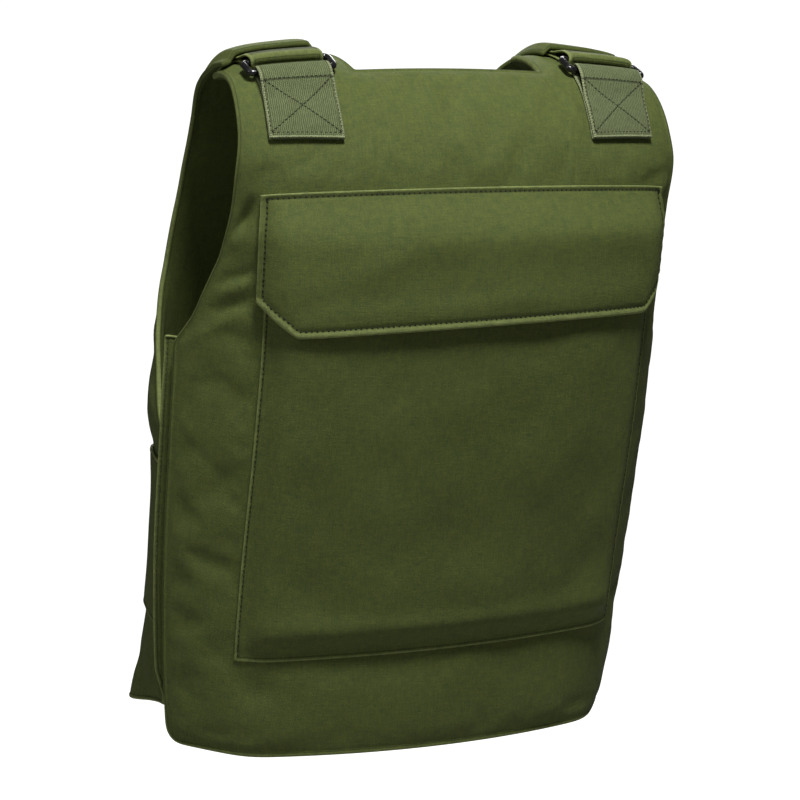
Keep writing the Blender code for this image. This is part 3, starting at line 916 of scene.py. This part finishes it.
def back_panel():
    ways = back_ways()
    across, neck, kept, from_edge = panel_grid(
        BACK_EDGES, ways, ways, HEM_CORNER, STEP, lambda at: at > BACK_NECK
    )
    reach, way = np.abs(across), ways[:, None]
    notch = np.hypot(np.maximum(reach - neck, 0), np.maximum(BACK_NECK - way, 0))
    notch = np.where(way > BACK_NECK, reach - neck, notch)
    from_edge = np.minimum(from_edge, np.maximum(notch, 0))
    hung = back_hang(across, way)
    sewn = sewn_on_back(reach, way + hung, pocket_way(across, 0.0))
    above_hem = ease((way - HEM_CORNER) / HEM_WEAR_FADES)
    return padded_panel("back_panel", across, way, hung, from_edge, PAD, 0.0, kept, CREASES, sewn, above_hem)


def front_hang(reach, from_hem):
    """How far the front's lower edge is moved down: nothing at its flanks, and all in front of them."""
    low = 1 - ease((reach - FRONT_DIP_HALF) / FRONT_DIP_SPAN)
    return FRONT_DIP * low * ease(1 - from_hem / FRONT_DIP_FADES)


def over_shoulder(ways):
    """1 where the front panel rides over the shoulder straps, and 0 from the chest down."""
    return ease((FRONT_SEATED_FROM - ways) / (FRONT_SEATED_FROM - FRONT_RAISED_TO))


FRONT_CREASES = (
    # across, way, degrees, length, width, height
    (0.1500, 0.8100, 130, 0.030, 0.0080, 0.0014),
    (-0.1500, 0.8150, 48, 0.030, 0.0080, 0.0014),
    (0.0000, 0.7600, 3, 0.060, 0.0180, -0.0012),
    (0.0500, 0.9900, 20, 0.060, 0.0200, 0.0014),
    (-0.0600, 1.0200, 165, 0.060, 0.0180, 0.0012),
    (0.1800, 1.0300, 85, 0.040, 0.0120, -0.0012),
    (-0.1850, 1.0200, 95, 0.040, 0.0130, -0.0012),
)


def front_panel():
    hem = way_at(FRONT_HEM_HEIGHT, front=True)
    strap_top = way_at(STRAP_HEIGHTS[0], front=True)
    upper = between(FRONT_END, FRONT_NECK, STEP)
    stops = FRONT_NECK + CLOSE[-1], FRONT_ARMHOLE_CORNER, strap_top, hem - CLOSE[-1]
    lower = stretch(stops, FRONT_STEPS)
    ways = np.concatenate([upper, FRONT_NECK + CLOSE[1:-1], lower, hem - CLOSE[-2::-1]])
    across, neck, kept, from_edge = panel_grid(
        FRONT_EDGES, ways, hem - ways, FRONT_CORNER, FRONT_STEP, lambda at: at < FRONT_NECK
    )
    reach, way = np.abs(across), ways[:, None]
    beside = (reach - neck) * steepness(ways, neck[:, 0])[:, None]
    past_neck = reach - read_table(FRONT_EDGES, FRONT_NECK)[0]
    below = np.hypot(np.maximum(past_neck, 0), np.maximum(way - FRONT_NECK, 0))
    notch = np.maximum(np.where(way < FRONT_NECK, beside, below), 0)
    from_edge = np.minimum(from_edge, np.minimum(notch, way - FRONT_END))
    raised = over_shoulder(way)
    part = 1 - (1 - FRONT_THIN) * raised
    beyond = np.maximum(np.maximum(SHOULDER_FROM - reach, reach - SHOULDER_TO), 0)
    wraps = (FRONT_RAISED - FRONT_WALL * FRONT_THIN - SEAT) * ease(beyond / SHOULDER_WRAPS) * raised
    down = way - strap_top
    under_strap = ease((down + STRAP_PAST) / STRAP_FADES)
    under_strap = under_strap * ease((STRAP_HELD_DOWN + STRAP_PAST - down) / STRAP_FADES)
    under_strap = under_strap * ease((reach - STRAP_TIP + STRAP_TIP_PAST) / STRAP_TIP_FADES)
    return padded_panel(
        "front_panel",
        across,
        way,
        front_hang(reach, hem - way),
        from_edge,
        FRONT_WALL * part + SHOULDER_THICKER * raised,
        (FRONT_RAISED + SHOULDER_THICKER) * raised - wraps,
        kept,
        FRONT_CREASES,
        np.maximum(under_strap, ease((FRONT_HELD_TO - way) / FRONT_HELD_FADES)),
        ease((hem - way - FRONT_CORNER) / HEM_WEAR_FADES) * (1 + SHOULDER_NEWER * raised),
        blunt=raised,
    )


PUFF = 0.0022
INNER_PUFF = 0.0010
SIM_FRAMES = 20
PINNED_FROM = 0.6
LEAST_STEP = 1e-9
PRESSED_CLOTH = {
    "quality": 4,
    "mass": 0.25,
    "tension_stiffness": 12,
    "compression_stiffness": 12,
    "shear_stiffness": 6,
    "bending_stiffness": 0.6,
    "use_pressure": True,
    "uniform_pressure_force": 4.0,
    "shrink_min": -0.012,
}


def swell(pads):
    """A short cloth simulation under air pressure, with the stitched parts held, blows each padded panel up.
    A point that it moves by d ends up `reach` times the hyperbolic tangent of d / reach away, less where it
    is held."""
    scene = bpy.context.scene
    for piece, held in pads:
        group = piece.vertex_groups.new(name="held")
        group.add(np.flatnonzero(np.tile(held, 2) > PINNED_FROM).tolist(), 1.0, "REPLACE")
        cloth = piece.modifiers.new("pressure", "CLOTH")
        for key, value in PRESSED_CLOTH.items():
            setattr(cloth.settings, key, value)
        cloth.settings.vertex_group_mass = group.name
        cloth.settings.effector_weights.gravity = 0.0
        cloth.collision_settings.use_collision = False
        cloth.point_cache.frame_start, cloth.point_cache.frame_end = 1, SIM_FRAMES
    for number in range(1, SIM_FRAMES + 1):
        scene.frame_set(number)
    graph = bpy.context.evaluated_depsgraph_get()
    for piece, held in pads:
        rest, moved = (np.empty(len(piece.data.vertices) * 3) for _ in range(2))
        piece.data.vertices.foreach_get("co", rest)
        piece.evaluated_get(graph).data.vertices.foreach_get("co", moved)
        step = (moved - rest).reshape(-1, 3)
        far = np.maximum(np.linalg.norm(step, axis=1, keepdims=True), LEAST_STEP)
        reach = np.repeat((PUFF, INNER_PUFF), len(held))[:, None]
        step *= reach * np.tanh(far / reach) / far * (1 - np.tile(held, 2))[:, None]
        piece.data.vertices.foreach_set("co", rest + step.ravel())
        piece.modifiers.remove(piece.modifiers["pressure"])
        piece.vertex_groups.clear()
    scene.frame_set(1)


# Pocket and flap


POCKET_HEIGHT = POCKET_MOUTH - POCKET_BOTTOM
POCKET_PHASE = 1.3
FLAP_PHASE = 2.6
POCKET_FREE_FROM = 0.006
POCKET_FREE_FADES = 0.020
FOOT_PRESSED_FADES = 0.010
DEEPEST_PUCKER = 0.0003
FLAP_FREE_FROM = 0.006
FLAP_FREE_FADES = 0.016
FLAP_SWELLS_FROM = 0.005
FLAP_SWELL_FADES = 0.014
FLARE_FROM = 0.55
FLARE_SIDES = 0.050
TOP_SEAM_IN = 0.003
POCKET_SEAM_POINTS = 160
FLAP_SEAM_POINTS = (60, 30, 120)
PUCKER_PITCH = 0.0085
PUCKER_FADES = 0.007
PUCKER_STRAYS = 0.7
PUCKER_STRAY_RATE = 170


def pocket_lift(across, from_foot):
    """The pocket's inner face: on the panel along its sewn edges, and standing off it inside them."""
    from_side = POCKET_HALF - np.abs(across) - POCKET_SEAM
    from_seam = from_foot - POCKET_SEAM
    return SEAT + POCKET_DEPTH * ease(from_side / POCKET_RISE) * ease(from_seam / POCKET_RISE)


def pocket_way(across, from_foot):
    """The pocket hangs a little arched and aslant at its foot, and straight at its mouth."""
    hung = arched(across, POCKET_HALF) - POCKET_SKEW * across
    return POCKET_BOTTOM + from_foot + hung * (1 - from_foot / POCKET_HEIGHT)


def pucker(run, from_edge, height=0.00030):
    """The small puckers that stitches draw along an edge: a sine along it, with its pitch a little uneven,
    that fades away from it."""
    uneven = PUCKER_STRAYS * np.sin(run * PUCKER_STRAY_RATE)
    return height * np.sin(2 * math.pi * run / PUCKER_PITCH + uneven) * np.exp(-from_edge / PUCKER_FADES)


def pocket_faces(across, from_foot):
    """The lifts of the pocket's inner and outer face: the inner one has the soft forms of the table and the
    waves inside the sewn edges, and the outer one lies a folded cloth above it, pressed thinner along the
    foot and puckered along its seams."""
    from_side = POCKET_HALF - np.abs(across) + 0 * from_foot
    from_edge = np.minimum(from_side, np.minimum(from_foot, POCKET_HEIGHT - from_foot))
    way = pocket_way(across, from_foot)
    free_side, free_foot = (ease((a - POCKET_FREE_FROM) / POCKET_FREE_FADES) for a in (from_side, from_foot))
    soft = (relief(POCKET_FOLDS, across, way) + waves(across, way, POCKET_PHASE)) * (free_side * free_foot)
    inner = np.maximum(pocket_lift(across, from_foot) + soft, SEAT)
    crimped = pucker(way, from_side) + pucker(across, from_foot + 0 * across)
    pressed = 1 - FOOT_PRESSED * (1 - ease((from_foot - FOLD_SEAM) / FOOT_PRESSED_FADES))
    outer = inner + CLOTH * read_table(FOLD_SECTION, from_edge)[0] * pressed
    return inner, outer + np.maximum(crimped, -DEEPEST_PUCKER), from_edge


def back_pocket():
    across = between(-POCKET_HALF, POCKET_HALF, FINE_STEP)
    from_foot = between(0.0, POCKET_HEIGHT, FINE_STEP)[:, None]
    way = pocket_way(across, from_foot)
    inner, outer, from_edge = pocket_faces(across, from_foot)
    outer, inner = skin(across, way, outer), skin(across, way, inner)
    piece, _ = shell("back_pocket", CLOTH_LOOK, outer, inner, (across, way), from_edge / FOLD_WORN)
    rise = np.linspace(FOLD_SEAM, POCKET_HEIGHT, POCKET_SEAM_POINTS)
    seams = []
    for at in (FOLD_SEAM - POCKET_HALF, POCKET_HALF - FOLD_SEAM):
        at = np.full(len(rise), at)
        seams.append(outward(at, pocket_way(at, rise), pocket_faces(at, rise)[1] + STITCH_PROUD))
    thread = stitching("back_pocket", seams, DARK_THREAD_AND_HOLE_SHADE, width=0.0010)
    return piece


def flap_lift(across, part):
    """The flap's inner face, from its sewn top to its free lower edge, drawn in at the sides."""
    past_pocket = np.abs(across) - (POCKET_HALF - POCKET_RISE)
    side = 1 - (1 - FLAP_SIDES_KEEP) * ease(past_pocket / (FLAP_HALF - POCKET_HALF + POCKET_RISE))
    return SEAT + FLAP_STAND * ease(part / FLAP_RISES_BY) * side


def flap_low(across):
    """The way of the flap's lower edge: slanting, a little arched, and cut off at both corners."""
    cut = np.maximum(np.abs(across) - (FLAP_HALF - FLAP_CUT), 0.0)
    return FLAP_BOTTOM - FLAP_SKEW * across + FLAP_CUT_SLOPE * cut + arched(across, FLAP_HALF)


def flap_high(across):
    return FLAP_TOP - FLAP_TOP_SKEW * across


def flap_faces(across, ways):
    """The lifts of the flap's inner and outer face, and how near its pale edges each point is, which also
    places painted highlight and painted shade. The outer face has a hem along its free edges and a groove
    along the stitches, swells a little inside them, and stands off more towards its lower edge."""
    low, high = flap_low(across), flap_high(across)
    in_cut = np.abs(across) > FLAP_HALF - FLAP_CUT
    from_low = (ways - low) * np.where(in_cut, 1 / math.hypot(1, FLAP_CUT_SLOPE), 1.0)
    from_side = FLAP_HALF - np.abs(across) + 0 * ways
    from_top = high - ways + HEM_SEAM - TOP_SEAM
    from_edge = np.minimum(np.minimum(from_low, from_side), from_top)
    free = ease((from_edge - FLAP_FREE_FROM) / FLAP_FREE_FADES)
    soft = relief(FLAP_FOLDS, across, ways) + waves(across, ways, FLAP_PHASE)
    part = (high - ways) / (high - low)
    flare = FLAP_FLARE * ease((part - FLARE_FROM) / (1 - FLARE_FROM)) * ease(from_side / FLARE_SIDES)
    inner = flap_lift(across, part) + flare + soft * free
    crimped = pucker(across, from_low, 0.00035) + pucker(ways, from_side) + pucker(across, from_top)
    swelling = FLAP_SWELL * ease((from_edge - FLAP_SWELLS_FROM) / FLAP_SWELL_FADES)
    outer = inner + CLOTH * read_table(HEM_SECTION, from_edge)[0] + swelling + crimped
    widths, *stops = table(FLAP_WEAR_AND_PAINTED_LIGHT)
    pale_edge_and_painted_light = [np.interp(a, stop, widths) for a, stop in zip((from_low, from_side, high - ways), stops)]
    return inner, outer, np.minimum.reduce(np.broadcast_arrays(*pale_edge_and_painted_light))


def pocket_flap():
    """The flap's rows follow its lower edge at fixed distances and close up to its top."""
    across = between(-FLAP_HALF, FLAP_HALF, FINE_STEP)
    ways = between(flap_low(across), flap_high(across), FINE_STEP).T
    inner, outer, pale_edge_and_painted_light = flap_faces(across, ways)
    outer, inner = skin(across, ways, outer), skin(across, ways, inner)
    piece, _ = shell("pocket_flap", CLOTH_LOOK, outer, inner, (across, ways), pale_edge_and_painted_light)
    thread = stitching("pocket_flap", flap_seams(), DARK_THREAD_AND_HOLE_SHADE, pitch=0.0036, length=0.0019, width=0.0017)
    return piece


def flap_seams():
    """The stitches along the flap's hem, from its sewn top down one side and along its lower edge to the
    middle, the same from the other side, and those along its top."""
    inside, corner = FLAP_HALF - HEM_SEAM, FLAP_HALF - FLAP_CUT
    down, slanting, level = FLAP_SEAM_POINTS
    lower = [np.linspace(-inside, -corner, slanting), np.linspace(-corner, 0, level)]
    across = np.concatenate([np.full(down, -inside), *lower])
    slant = np.where(np.abs(across) > corner, math.hypot(1, FLAP_CUT_SLOPE), 1.0)
    lines = []
    for side in (1, -1):
        ways = flap_low(side * across) + HEM_SEAM * slant
        ways[:down] = np.linspace(flap_high(-side * inside) - TOP_SEAM, ways[down], down)
        lines.append((side * across, ways))
    top = np.linspace(TOP_SEAM_IN - FLAP_HALF, FLAP_HALF - TOP_SEAM_IN, level)
    lines.append((top, flap_high(top) - TOP_SEAM))
    return [outward(at, way, flap_faces(at, way)[1] + STITCH_PROUD) for at, way in lines]


# Shoulders


BAND_HALF = (SHOULDER_TO - SHOULDER_FROM) / 2
BAND_MIDDLE = (SHOULDER_TO + SHOULDER_FROM) / 2
LOOP_POINTS = 15
WEBBING_COLUMNS = 21
STRAP_COLUMNS = 19
BOX_POINTS = 40


def loop_path(start, bar_way, towards, thickness):
    """The middle line, as columns of way and lift, of a band that comes along the panel, goes round a ring's
    bar and returns on top of itself."""
    low = SEAT + thickness / 2
    high = low + thickness + GAP
    radius = RING_WIRE + LOOP_CLEAR + thickness / 2
    angles = np.radians(np.linspace(-90, 90, LOOP_POINTS))
    round_way = bar_way + towards * radius * np.cos(angles)
    round_lift = RING_LIFT + radius * np.sin(angles)
    leave = bar_way - towards * BAND_LEAVES
    along = np.linspace(start, leave, max(int(abs(leave - start) / BAND_STEP), 2) + 1)
    sinking = ease(np.abs(along - leave) / BAND_SINKS)
    top = RING_LIFT + radius
    way = np.concatenate([along, round_way, along[::-1]])
    lift = np.concatenate([np.full(len(along), low), round_lift, (top + (high - top) * sinking)[::-1]])
    return np.stack([way, lift], -1)


def band_across(side, count):
    """Columns of a shoulder band, always from low to high, on the left (+1) or right (-1) shoulder, with the
    distance of each from the band's middle and from its nearer side."""
    from_middle = np.linspace(-BAND_HALF, BAND_HALF, count)
    return side * BAND_MIDDLE + from_middle, from_middle, BAND_HALF - np.abs(from_middle)


SELVEDGE_SECTION = (
    # from_side, thickness_share
    (0.0000, 0.55),
    (0.0012, 1.12),
    (0.0030, 1.00),
)
END_THICKER = 0.45
END_FROM = 0.004
END_FADES = 0.002
SHARE_LIMITS = (0.3, 1.45)
BOX_PROUD = 0.0001


def lean(across, way):
    """The webbing runs a little aslant: its sewn end lies lower on the neck side, and further left."""
    sewn = ease((RING_LOW - way) / (RING_LOW - WEBBING_BOTTOM))
    aslant = WEBBING_SKEW * (np.abs(across) - BAND_MIDDLE)
    return across + WEBBING_LEAN * sewn, way + aslant * sewn


def lay_band(piece):
    """Hands back a band, already folded round its ring, as it is."""
    return piece


def webbing(hand, side):
    path = loop_path(WEBBING_BOTTOM, RING_LOW, 1, WEBBING)
    way, lift = path.T
    across, from_middle, from_side = band_across(side, WEBBING_COLUMNS)
    placed, aslant = lean(across, way[:, None])
    middle = skin(placed, aslant, lift[:, None])
    run = run_along(path)
    from_end = run[-1] - run[:, None]
    share = read_table(SELVEDGE_SECTION, from_side)[0]
    share = share + END_THICKER * ease((END_FROM - from_end) / END_FADES)
    half = facing(middle) * (WEBBING / 2 * np.clip(share, *SHARE_LIMITS))[..., None]
    plan = (from_middle, from_end + 0 * across)
    pale_edge_and_painted_light = np.minimum(from_side, from_end) / SELVEDGE
    piece, _ = shell(f"webbing_{hand}", WEBBING_LOOK, middle + half, middle - half, plan, pale_edge_and_painted_light)

    upper_half = slice(None, len(way) // 2)
    top_way, top_lift = way[::-1][upper_half], lift[::-1][upper_half]

    def laid(at, ways):
        return outward(*lean(at, ways), np.interp(ways, top_way, top_lift) + WEBBING / 2 + BOX_PROUD)

    ends = WEBBING_BOTTOM + BOX_FROM, WEBBING_BOTTOM + BOX_TO
    sides = side * BAND_MIDDLE - BOX_HALF, side * BAND_MIDDLE + BOX_HALF
    rise, level = np.linspace(*ends, BOX_POINTS), np.linspace(*sides, BOX_POINTS)
    seams = [laid(at + 0 * rise, rise) for at in sides] + [laid(level, at + 0 * level) for at in ends]
    seams += [laid(level, rise), laid(level, rise[::-1])]
    thread = stitching(f"webbing_{hand}", seams, DARK_THREAD_AND_HOLE_SHADE, pitch=0.0030, length=0.0020, width=0.0006)
    return lay_band(piece)


# The cloth band beside its folded sides, and as it comes up round the ring's bar: a fold below, a groove,
# a soft roll above it; its colour table paints shade below the fold, highlights on the fold and the roll,
# shade in the groove, and shade beyond, where the band goes under the front panel
STRAP_SECTION = (
    # from_side, thickness_share
    (0.0000, 0.50),
    (0.0014, 1.15),
    (0.0030, 1.10),
    (0.0045, 0.80),
    (0.0080, 1.00),
)
ROLLS_FADE = 0.005
BAND_PAINTED_LIGHT = (
    # past_ring, from_edge in pale band widths, which paints highlight below 1 and shade near 1.3
    (-0.0060, 1.30),
    (-0.0050, 1.30),
    (-0.0040, 0.60),
    (-0.0026, 0.60),
    (-0.0014, 1.15),
    (0.0002, 1.15),
    (0.0016, 2.20),
    (0.0030, 0.85),
    (0.0060, 0.75),
    (0.0078, 2.20),
    (0.0090, 1.30),
    (0.0240, 1.30),
)
BAND_ROLLS = (
    # past_ring, width, height
    (-0.0030, 0.0016, 0.0016),
    (-0.0004, 0.0013, -0.0008),
    (0.0046, 0.0030, 0.0012),
)


def shoulder_strap(hand, side):
    path = loop_path(STRAP_END, RING_HIGH, -1, CLOTH)
    way, lift = path.T
    across, _, from_side = band_across(side, STRAP_COLUMNS)
    middle = skin(across, way[:, None], lift[:, None])
    run = run_along(path)
    share = read_table(STRAP_SECTION, from_side)[0]
    past_ring = run[:, None] - run[-1] / 2
    rolls = sum(height * np.exp(-(((past_ring - at) / width) ** 2)) for at, width, height in BAND_ROLLS)
    out = facing(middle)
    half = out * (CLOTH / 2 * share)[..., None]
    rolled = out * (rolls * ease(from_side / ROLLS_FADE))[..., None]
    # Pale folded sides, and the painted highlights and painted shade of the band's colour table
    pale_edge_and_painted_light = np.minimum(from_side / FOLD_WORN, read_table(BAND_PAINTED_LIGHT, past_ring)[0])
    plan = (across, run[:, None])
    piece, _ = shell(f"shoulder_strap_{hand}", CLOTH_LOOK, middle + half + rolled, middle - half, plan, pale_edge_and_painted_light)
    return lay_band(piece)


WIRE_SIDES = 16
CORNER_POINTS = 7
CUTS = 4


def ring(hand, side):
    """A closed wire with a round section, carried along a rectangle with round corners that lies on the
    shoulder. Each side of the outline is cut into equal parts."""
    height, centre = (RING_HIGH - RING_LOW) / 2, (RING_HIGH + RING_LOW) / 2
    inner = np.array((BAND_HALF + RING_WIRE + RING_SPARE / 2, height)) - RING_CORNER
    turned = np.radians(np.linspace(0, 90, CORNER_POINTS))
    arc = RING_CORNER * np.stack([np.cos(turned), np.sin(turned)], -1)
    corners = [(1, 1, 1), (-1, 1, -1), (-1, -1, 1), (1, -1, -1)]
    outline = np.concatenate([((arc[::order] + inner) * (x, y)) for x, y, order in corners])
    following = np.roll(outline, -1, axis=0)
    share = np.linspace(0, 1, CUTS + 1)[:-1, None, None]
    outline = (outline + (following - outline) * share).transpose(1, 0, 2).reshape(-1, 2)
    points, up = outward(side * BAND_MIDDLE + outline[:, 0], centre + outline[:, 1], RING_LIFT)
    up = unit(up)
    aside = unit(np.cross(np.roll(points, -2, axis=0) - np.roll(points, 2, axis=0), up))
    round_it = np.linspace(0, 2 * math.pi, WIRE_SIDES + 1)[:-1, None]
    tube = points[:, None] + RING_WIRE * (np.cos(round_it) * aside[:, None] + np.sin(round_it) * up[:, None])
    faces = quads_of(len(points) + 1, WIRE_SIDES, closed=True) % (len(points) * WIRE_SIDES)
    piece = mesh_piece(f"ring_{hand}_smooth", tube.reshape(-1, 3), faces, PLASTIC)
    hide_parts(f"ring_{hand}")
    return piece


# Sides


SEWN_COLUMNS = 7
INSIDE_STATIONS = 3
WRAP_STEPS = 6
BRIDGE_STEPS = 5
FLANGE_SEAM_SHARE = 0.15


def flange_depth(past):
    """How deep the flange's middle lies below the skin: under the panel, and less further out."""
    return np.interp(past, (FLANGE_CLEAR, FLANGE_OUT), (PAD + SEAT + CLOTH / 2, FLANGE_DEPTH))


def side_flange(hand, side):
    """A strip sewn inside the back panel's edge, with a fold along its free edge."""
    ways = between(FLANGE_FOOT, FLANGE_HEAD, FINE_STEP)
    sewn = np.linspace(-FLANGE_SEWN, FLANGE_CLEAR, SEWN_COLUMNS)
    past = np.concatenate([sewn, FLANGE_OUT - CLOSE[-2::-1]])
    arm = read_table(BACK_EDGES, ways)[1]
    narrow = 1 - (1 - FLANGE_NARROW) * np.clip(1 - (ways - FLANGE_FOOT) / FLANGE_TAPER, 0, 1)
    depth = flange_depth(past)
    outside = np.maximum(past - FLANGE_CLEAR, 0.0)
    across = side * (arm[:, None] + past - (1 - narrow[:, None]) * outside)
    from_end = np.minimum(ways - FLANGE_FOOT, FLANGE_HEAD - ways)[:, None]
    from_edge = np.minimum((FLANGE_OUT - past) * narrow[:, None], from_end)
    thick = CLOTH * read_table(FOLD_SECTION, from_edge)[0]
    way = ways[:, None] + 0 * across
    outer = skin(across, way, -depth - CLOTH / 2 + thick)
    inner = skin(across, way, -depth - CLOTH / 2)
    if side < 0:
        across, way, outer, inner, from_edge = (a[:, ::-1] for a in (across, way, outer, inner, from_edge))
    piece, _ = shell(f"side_flange_{hand}", CLOTH_LOOK, outer, inner, (across, way), from_edge / FOLD_WORN)
    reach = arm + FLANGE_CLEAR + (FLANGE_OUT - FLANGE_CLEAR) * narrow - FOLD_SEAM
    lift = FLANGE_SEAM_SHARE * CLOTH + STITCH_PROUD - flange_depth(FLANGE_OUT - FOLD_SEAM)
    thread = stitching(f"side_flange_{hand}", [outward(side * reach, ways, lift)], OLIVE_THREAD)
    return piece


def strap_middle(side):
    """The middle surface of a side strap in three stretches, as in the part's source: inside the flange,
    across the gap on a cubic with the tangents of its ends, and over the front panel to its tip."""
    heights = STRAP_HEIGHTS[::-1, None]
    back_way, front_way = way_at(heights), way_at(heights, front=True)
    under = PAD + 3 * SEAT + 1.5 * CLOTH
    inside = skin(np.linspace(STRAP_FROM, STRAP_LEAVES, INSIDE_STATIONS), back_way, -under)
    wrapping = np.linspace(FRONT_HALF, STRAP_STATIONS[0], WRAP_STEPS + 1)
    stations = np.concatenate([wrapping, STRAP_STATIONS[1:], [STRAP_TIP]])
    outside = skin(stations, front_way, SEAT + CLOTH / 2)
    t = np.linspace(0, 1, BRIDGE_STEPS + 1)[1:-1, None]
    start, end = inside[:, -1:], outside[:, :1]
    length = np.linalg.norm(end - start, axis=-1, keepdims=True)
    leaving = unit(start - inside[:, -2:-1]) * length
    landing = unit(outside[:, 1:2] - end) * length
    bridge = cubic(t, start, end, leaving, landing)
    return np.concatenate([inside, bridge, outside], axis=1) * (side, 1, 1)


def finer(at, knots, grid):
    """A grid of points read smoothly at new places along its rows: the new grid has a row for each place."""
    return smooth(at, knots, grid.transpose(1, 0, 2).reshape(len(knots), -1)).reshape(len(at), -1, 3)


def side_strap(hand, side):
    """The middle surface is read smoothly along its length and its height, and given a wall that is thicker
    along its folded edges."""
    coarse = strap_middle(side)
    knots = run_along(coarse[len(coarse) // 2])
    run = between(0.0, knots[-1], FINE_STEP)
    width = STRAP_HEIGHTS[0] - STRAP_HEIGHTS[-1]
    rise = between(0.0, width, FINE_STEP)
    middle = finer(rise, np.linspace(0, width, len(coarse)), finer(run, knots, coarse))
    from_side = np.minimum(rise, width - rise)[:, None]
    from_edge = np.minimum(from_side, np.minimum(run, knots[-1] - run))
    thick = CLOTH * read_table(FOLD_SECTION, from_edge)[0]
    half = facing(middle) * (side * thick[..., None] / 2)
    if side > 0:
        middle, half, from_edge, run = middle[:, ::-1], half[:, ::-1], from_edge[:, ::-1], run[::-1]
    plan = (run, rise[:, None])
    pale_edge_and_painted_light = from_edge / FOLD_WORN
    piece, _ = shell(f"side_strap_{hand}", CLOTH_LOOK, middle - half, middle + half, plan, pale_edge_and_painted_light)
    up = unit(half)
    laid = middle + half + STITCH_PROUD * up
    sewn = int(np.searchsorted(CLOSE, FOLD_SEAM)) - 1
    tip = -1 - sewn if side < 0 else sewn
    seams = [(laid[row], up[row]) for row in (sewn, -1 - sewn)] + [(laid[:, tip], up[:, tip])]
    thread = stitching(f"side_strap_{hand}", seams, OLIVE_THREAD)
    return piece


# The vest


pads = [back_panel(), front_panel()]
swell(pads)
cloths = [piece for piece, _ in pads] + [back_pocket(), pocket_flap()]
for hand, side in (("left", 1), ("right", -1)):
    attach(ring(hand, side), "root")
    cloths += [make(hand, side) for make in (webbing, shoulder_strap, side_flange, side_strap)]
for piece in cloths:
    soften(piece)
    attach(piece, "root")


# Camera, light and floor


YAW, PITCH, ROLL = (math.radians(a) for a in (25.58, 8.06, 1.47))
EYE = (0.903, 1.771, 0.0446)
LENS = 137.08
SENSOR = 36.0


def camera():
    """The camera looks along a direction given by yaw and pitch, and rolls about it."""
    level = math.cos(PITCH)
    ahead = Vector((-math.sin(YAW) * level, -math.cos(YAW) * level, -math.sin(PITCH)))
    aside = ahead.cross(Vector((0, 0, 1))).normalized()
    above = aside.cross(ahead)
    right = aside * math.cos(ROLL) + above * math.sin(ROLL)
    up = above * math.cos(ROLL) - aside * math.sin(ROLL)
    eye = bpy.data.objects.new("camera", bpy.data.cameras.new("camera"))
    bpy.context.scene.collection.objects.link(eye)
    eye.data.lens = LENS
    eye.data.sensor_width = SENSOR
    eye.matrix_world = Matrix.Translation(EYE) @ Matrix((right, up, -ahead)).transposed().to_4x4()
    bpy.context.scene.camera = eye


LAMPS = (
    # name, place, aim, size, watts
    ("overhead", (0.26, 0.87, 1.61), (0.00, -0.02, -0.10), 0.5, 45.0),
    ("side", (2.00, 0.40, 0.80), (0.00, -0.05, -0.20), 0.8, 4.6),
    ("fill", (1.20, 2.10, 0.30), (0.00, -0.05, -0.25), 1.4, 2.2),
    ("front", (-1.00, -2.00, 0.95), (0.00, -0.15, -0.25), 1.6, 30.0),
)


def lamps():
    for name, place, aim, size, watts in LAMPS:
        light = bpy.data.lights.new(name, "AREA")
        light.shape = "DISK"
        light.size = size
        light.energy = watts
        lamp = bpy.data.objects.new(name, light)
        bpy.context.scene.collection.objects.link(lamp)
        lamp.location = place
        lamp.rotation_euler = (Vector(aim) - Vector(place)).to_track_quat("-Z", "Y").to_euler()


SKY_DIM = 0.05
SKY_SEEN = 1.05
FLOOR_GLOW = 0.93
FLOOR_RADIUS = 2.4
FLOOR_HEIGHT = -0.95
FLOOR_CORNERS = 64


def surroundings():
    """A wide pale floor well below the vest, and a sky that is white to the eye and dimmer as a light."""
    world = bpy.data.worlds.new("studio")
    world.use_nodes = True
    bpy.context.scene.world = world
    seen = Wire(world.node_tree).node("ShaderNodeLightPath", output="Is Camera Ray")
    background = world.node_tree.nodes["Background"]
    background.inputs["Color"].default_value = (1.0, 1.0, 1.0, 1.0)
    world.node_tree.links.new((SKY_DIM + SKY_SEEN * seen).socket, background.inputs["Strength"])
    pale, shader, start = finish_of("pale_floor")
    shader.inputs["Base Color"].default_value = (0.40, 0.40, 0.39, 1.0)
    shader.inputs["Roughness"].default_value = 0.9
    shader.inputs["Emission Color"].default_value = (1.0, 1.0, 0.995, 1.0)
    lit = start.node("ShaderNodeLightPath", output="Is Camera Ray") * FLOOR_GLOW
    start.tree.links.new(lit.socket, shader.inputs["Emission Strength"])
    turned = np.linspace(0, 2 * math.pi, FLOOR_CORNERS + 1)[:-1]
    rim = [FLOOR_RADIUS * np.cos(turned), FLOOR_RADIUS * np.sin(turned), FLOOR_HEIGHT + 0 * turned]
    mesh_piece("floor", np.stack(rim, -1), np.arange(FLOOR_CORNERS)[None], pale)


camera()
lamps()
surroundings()
bpy.context.scene.view_settings.view_transform = "Standard"
bpy.context.scene.view_settings.look = "None"
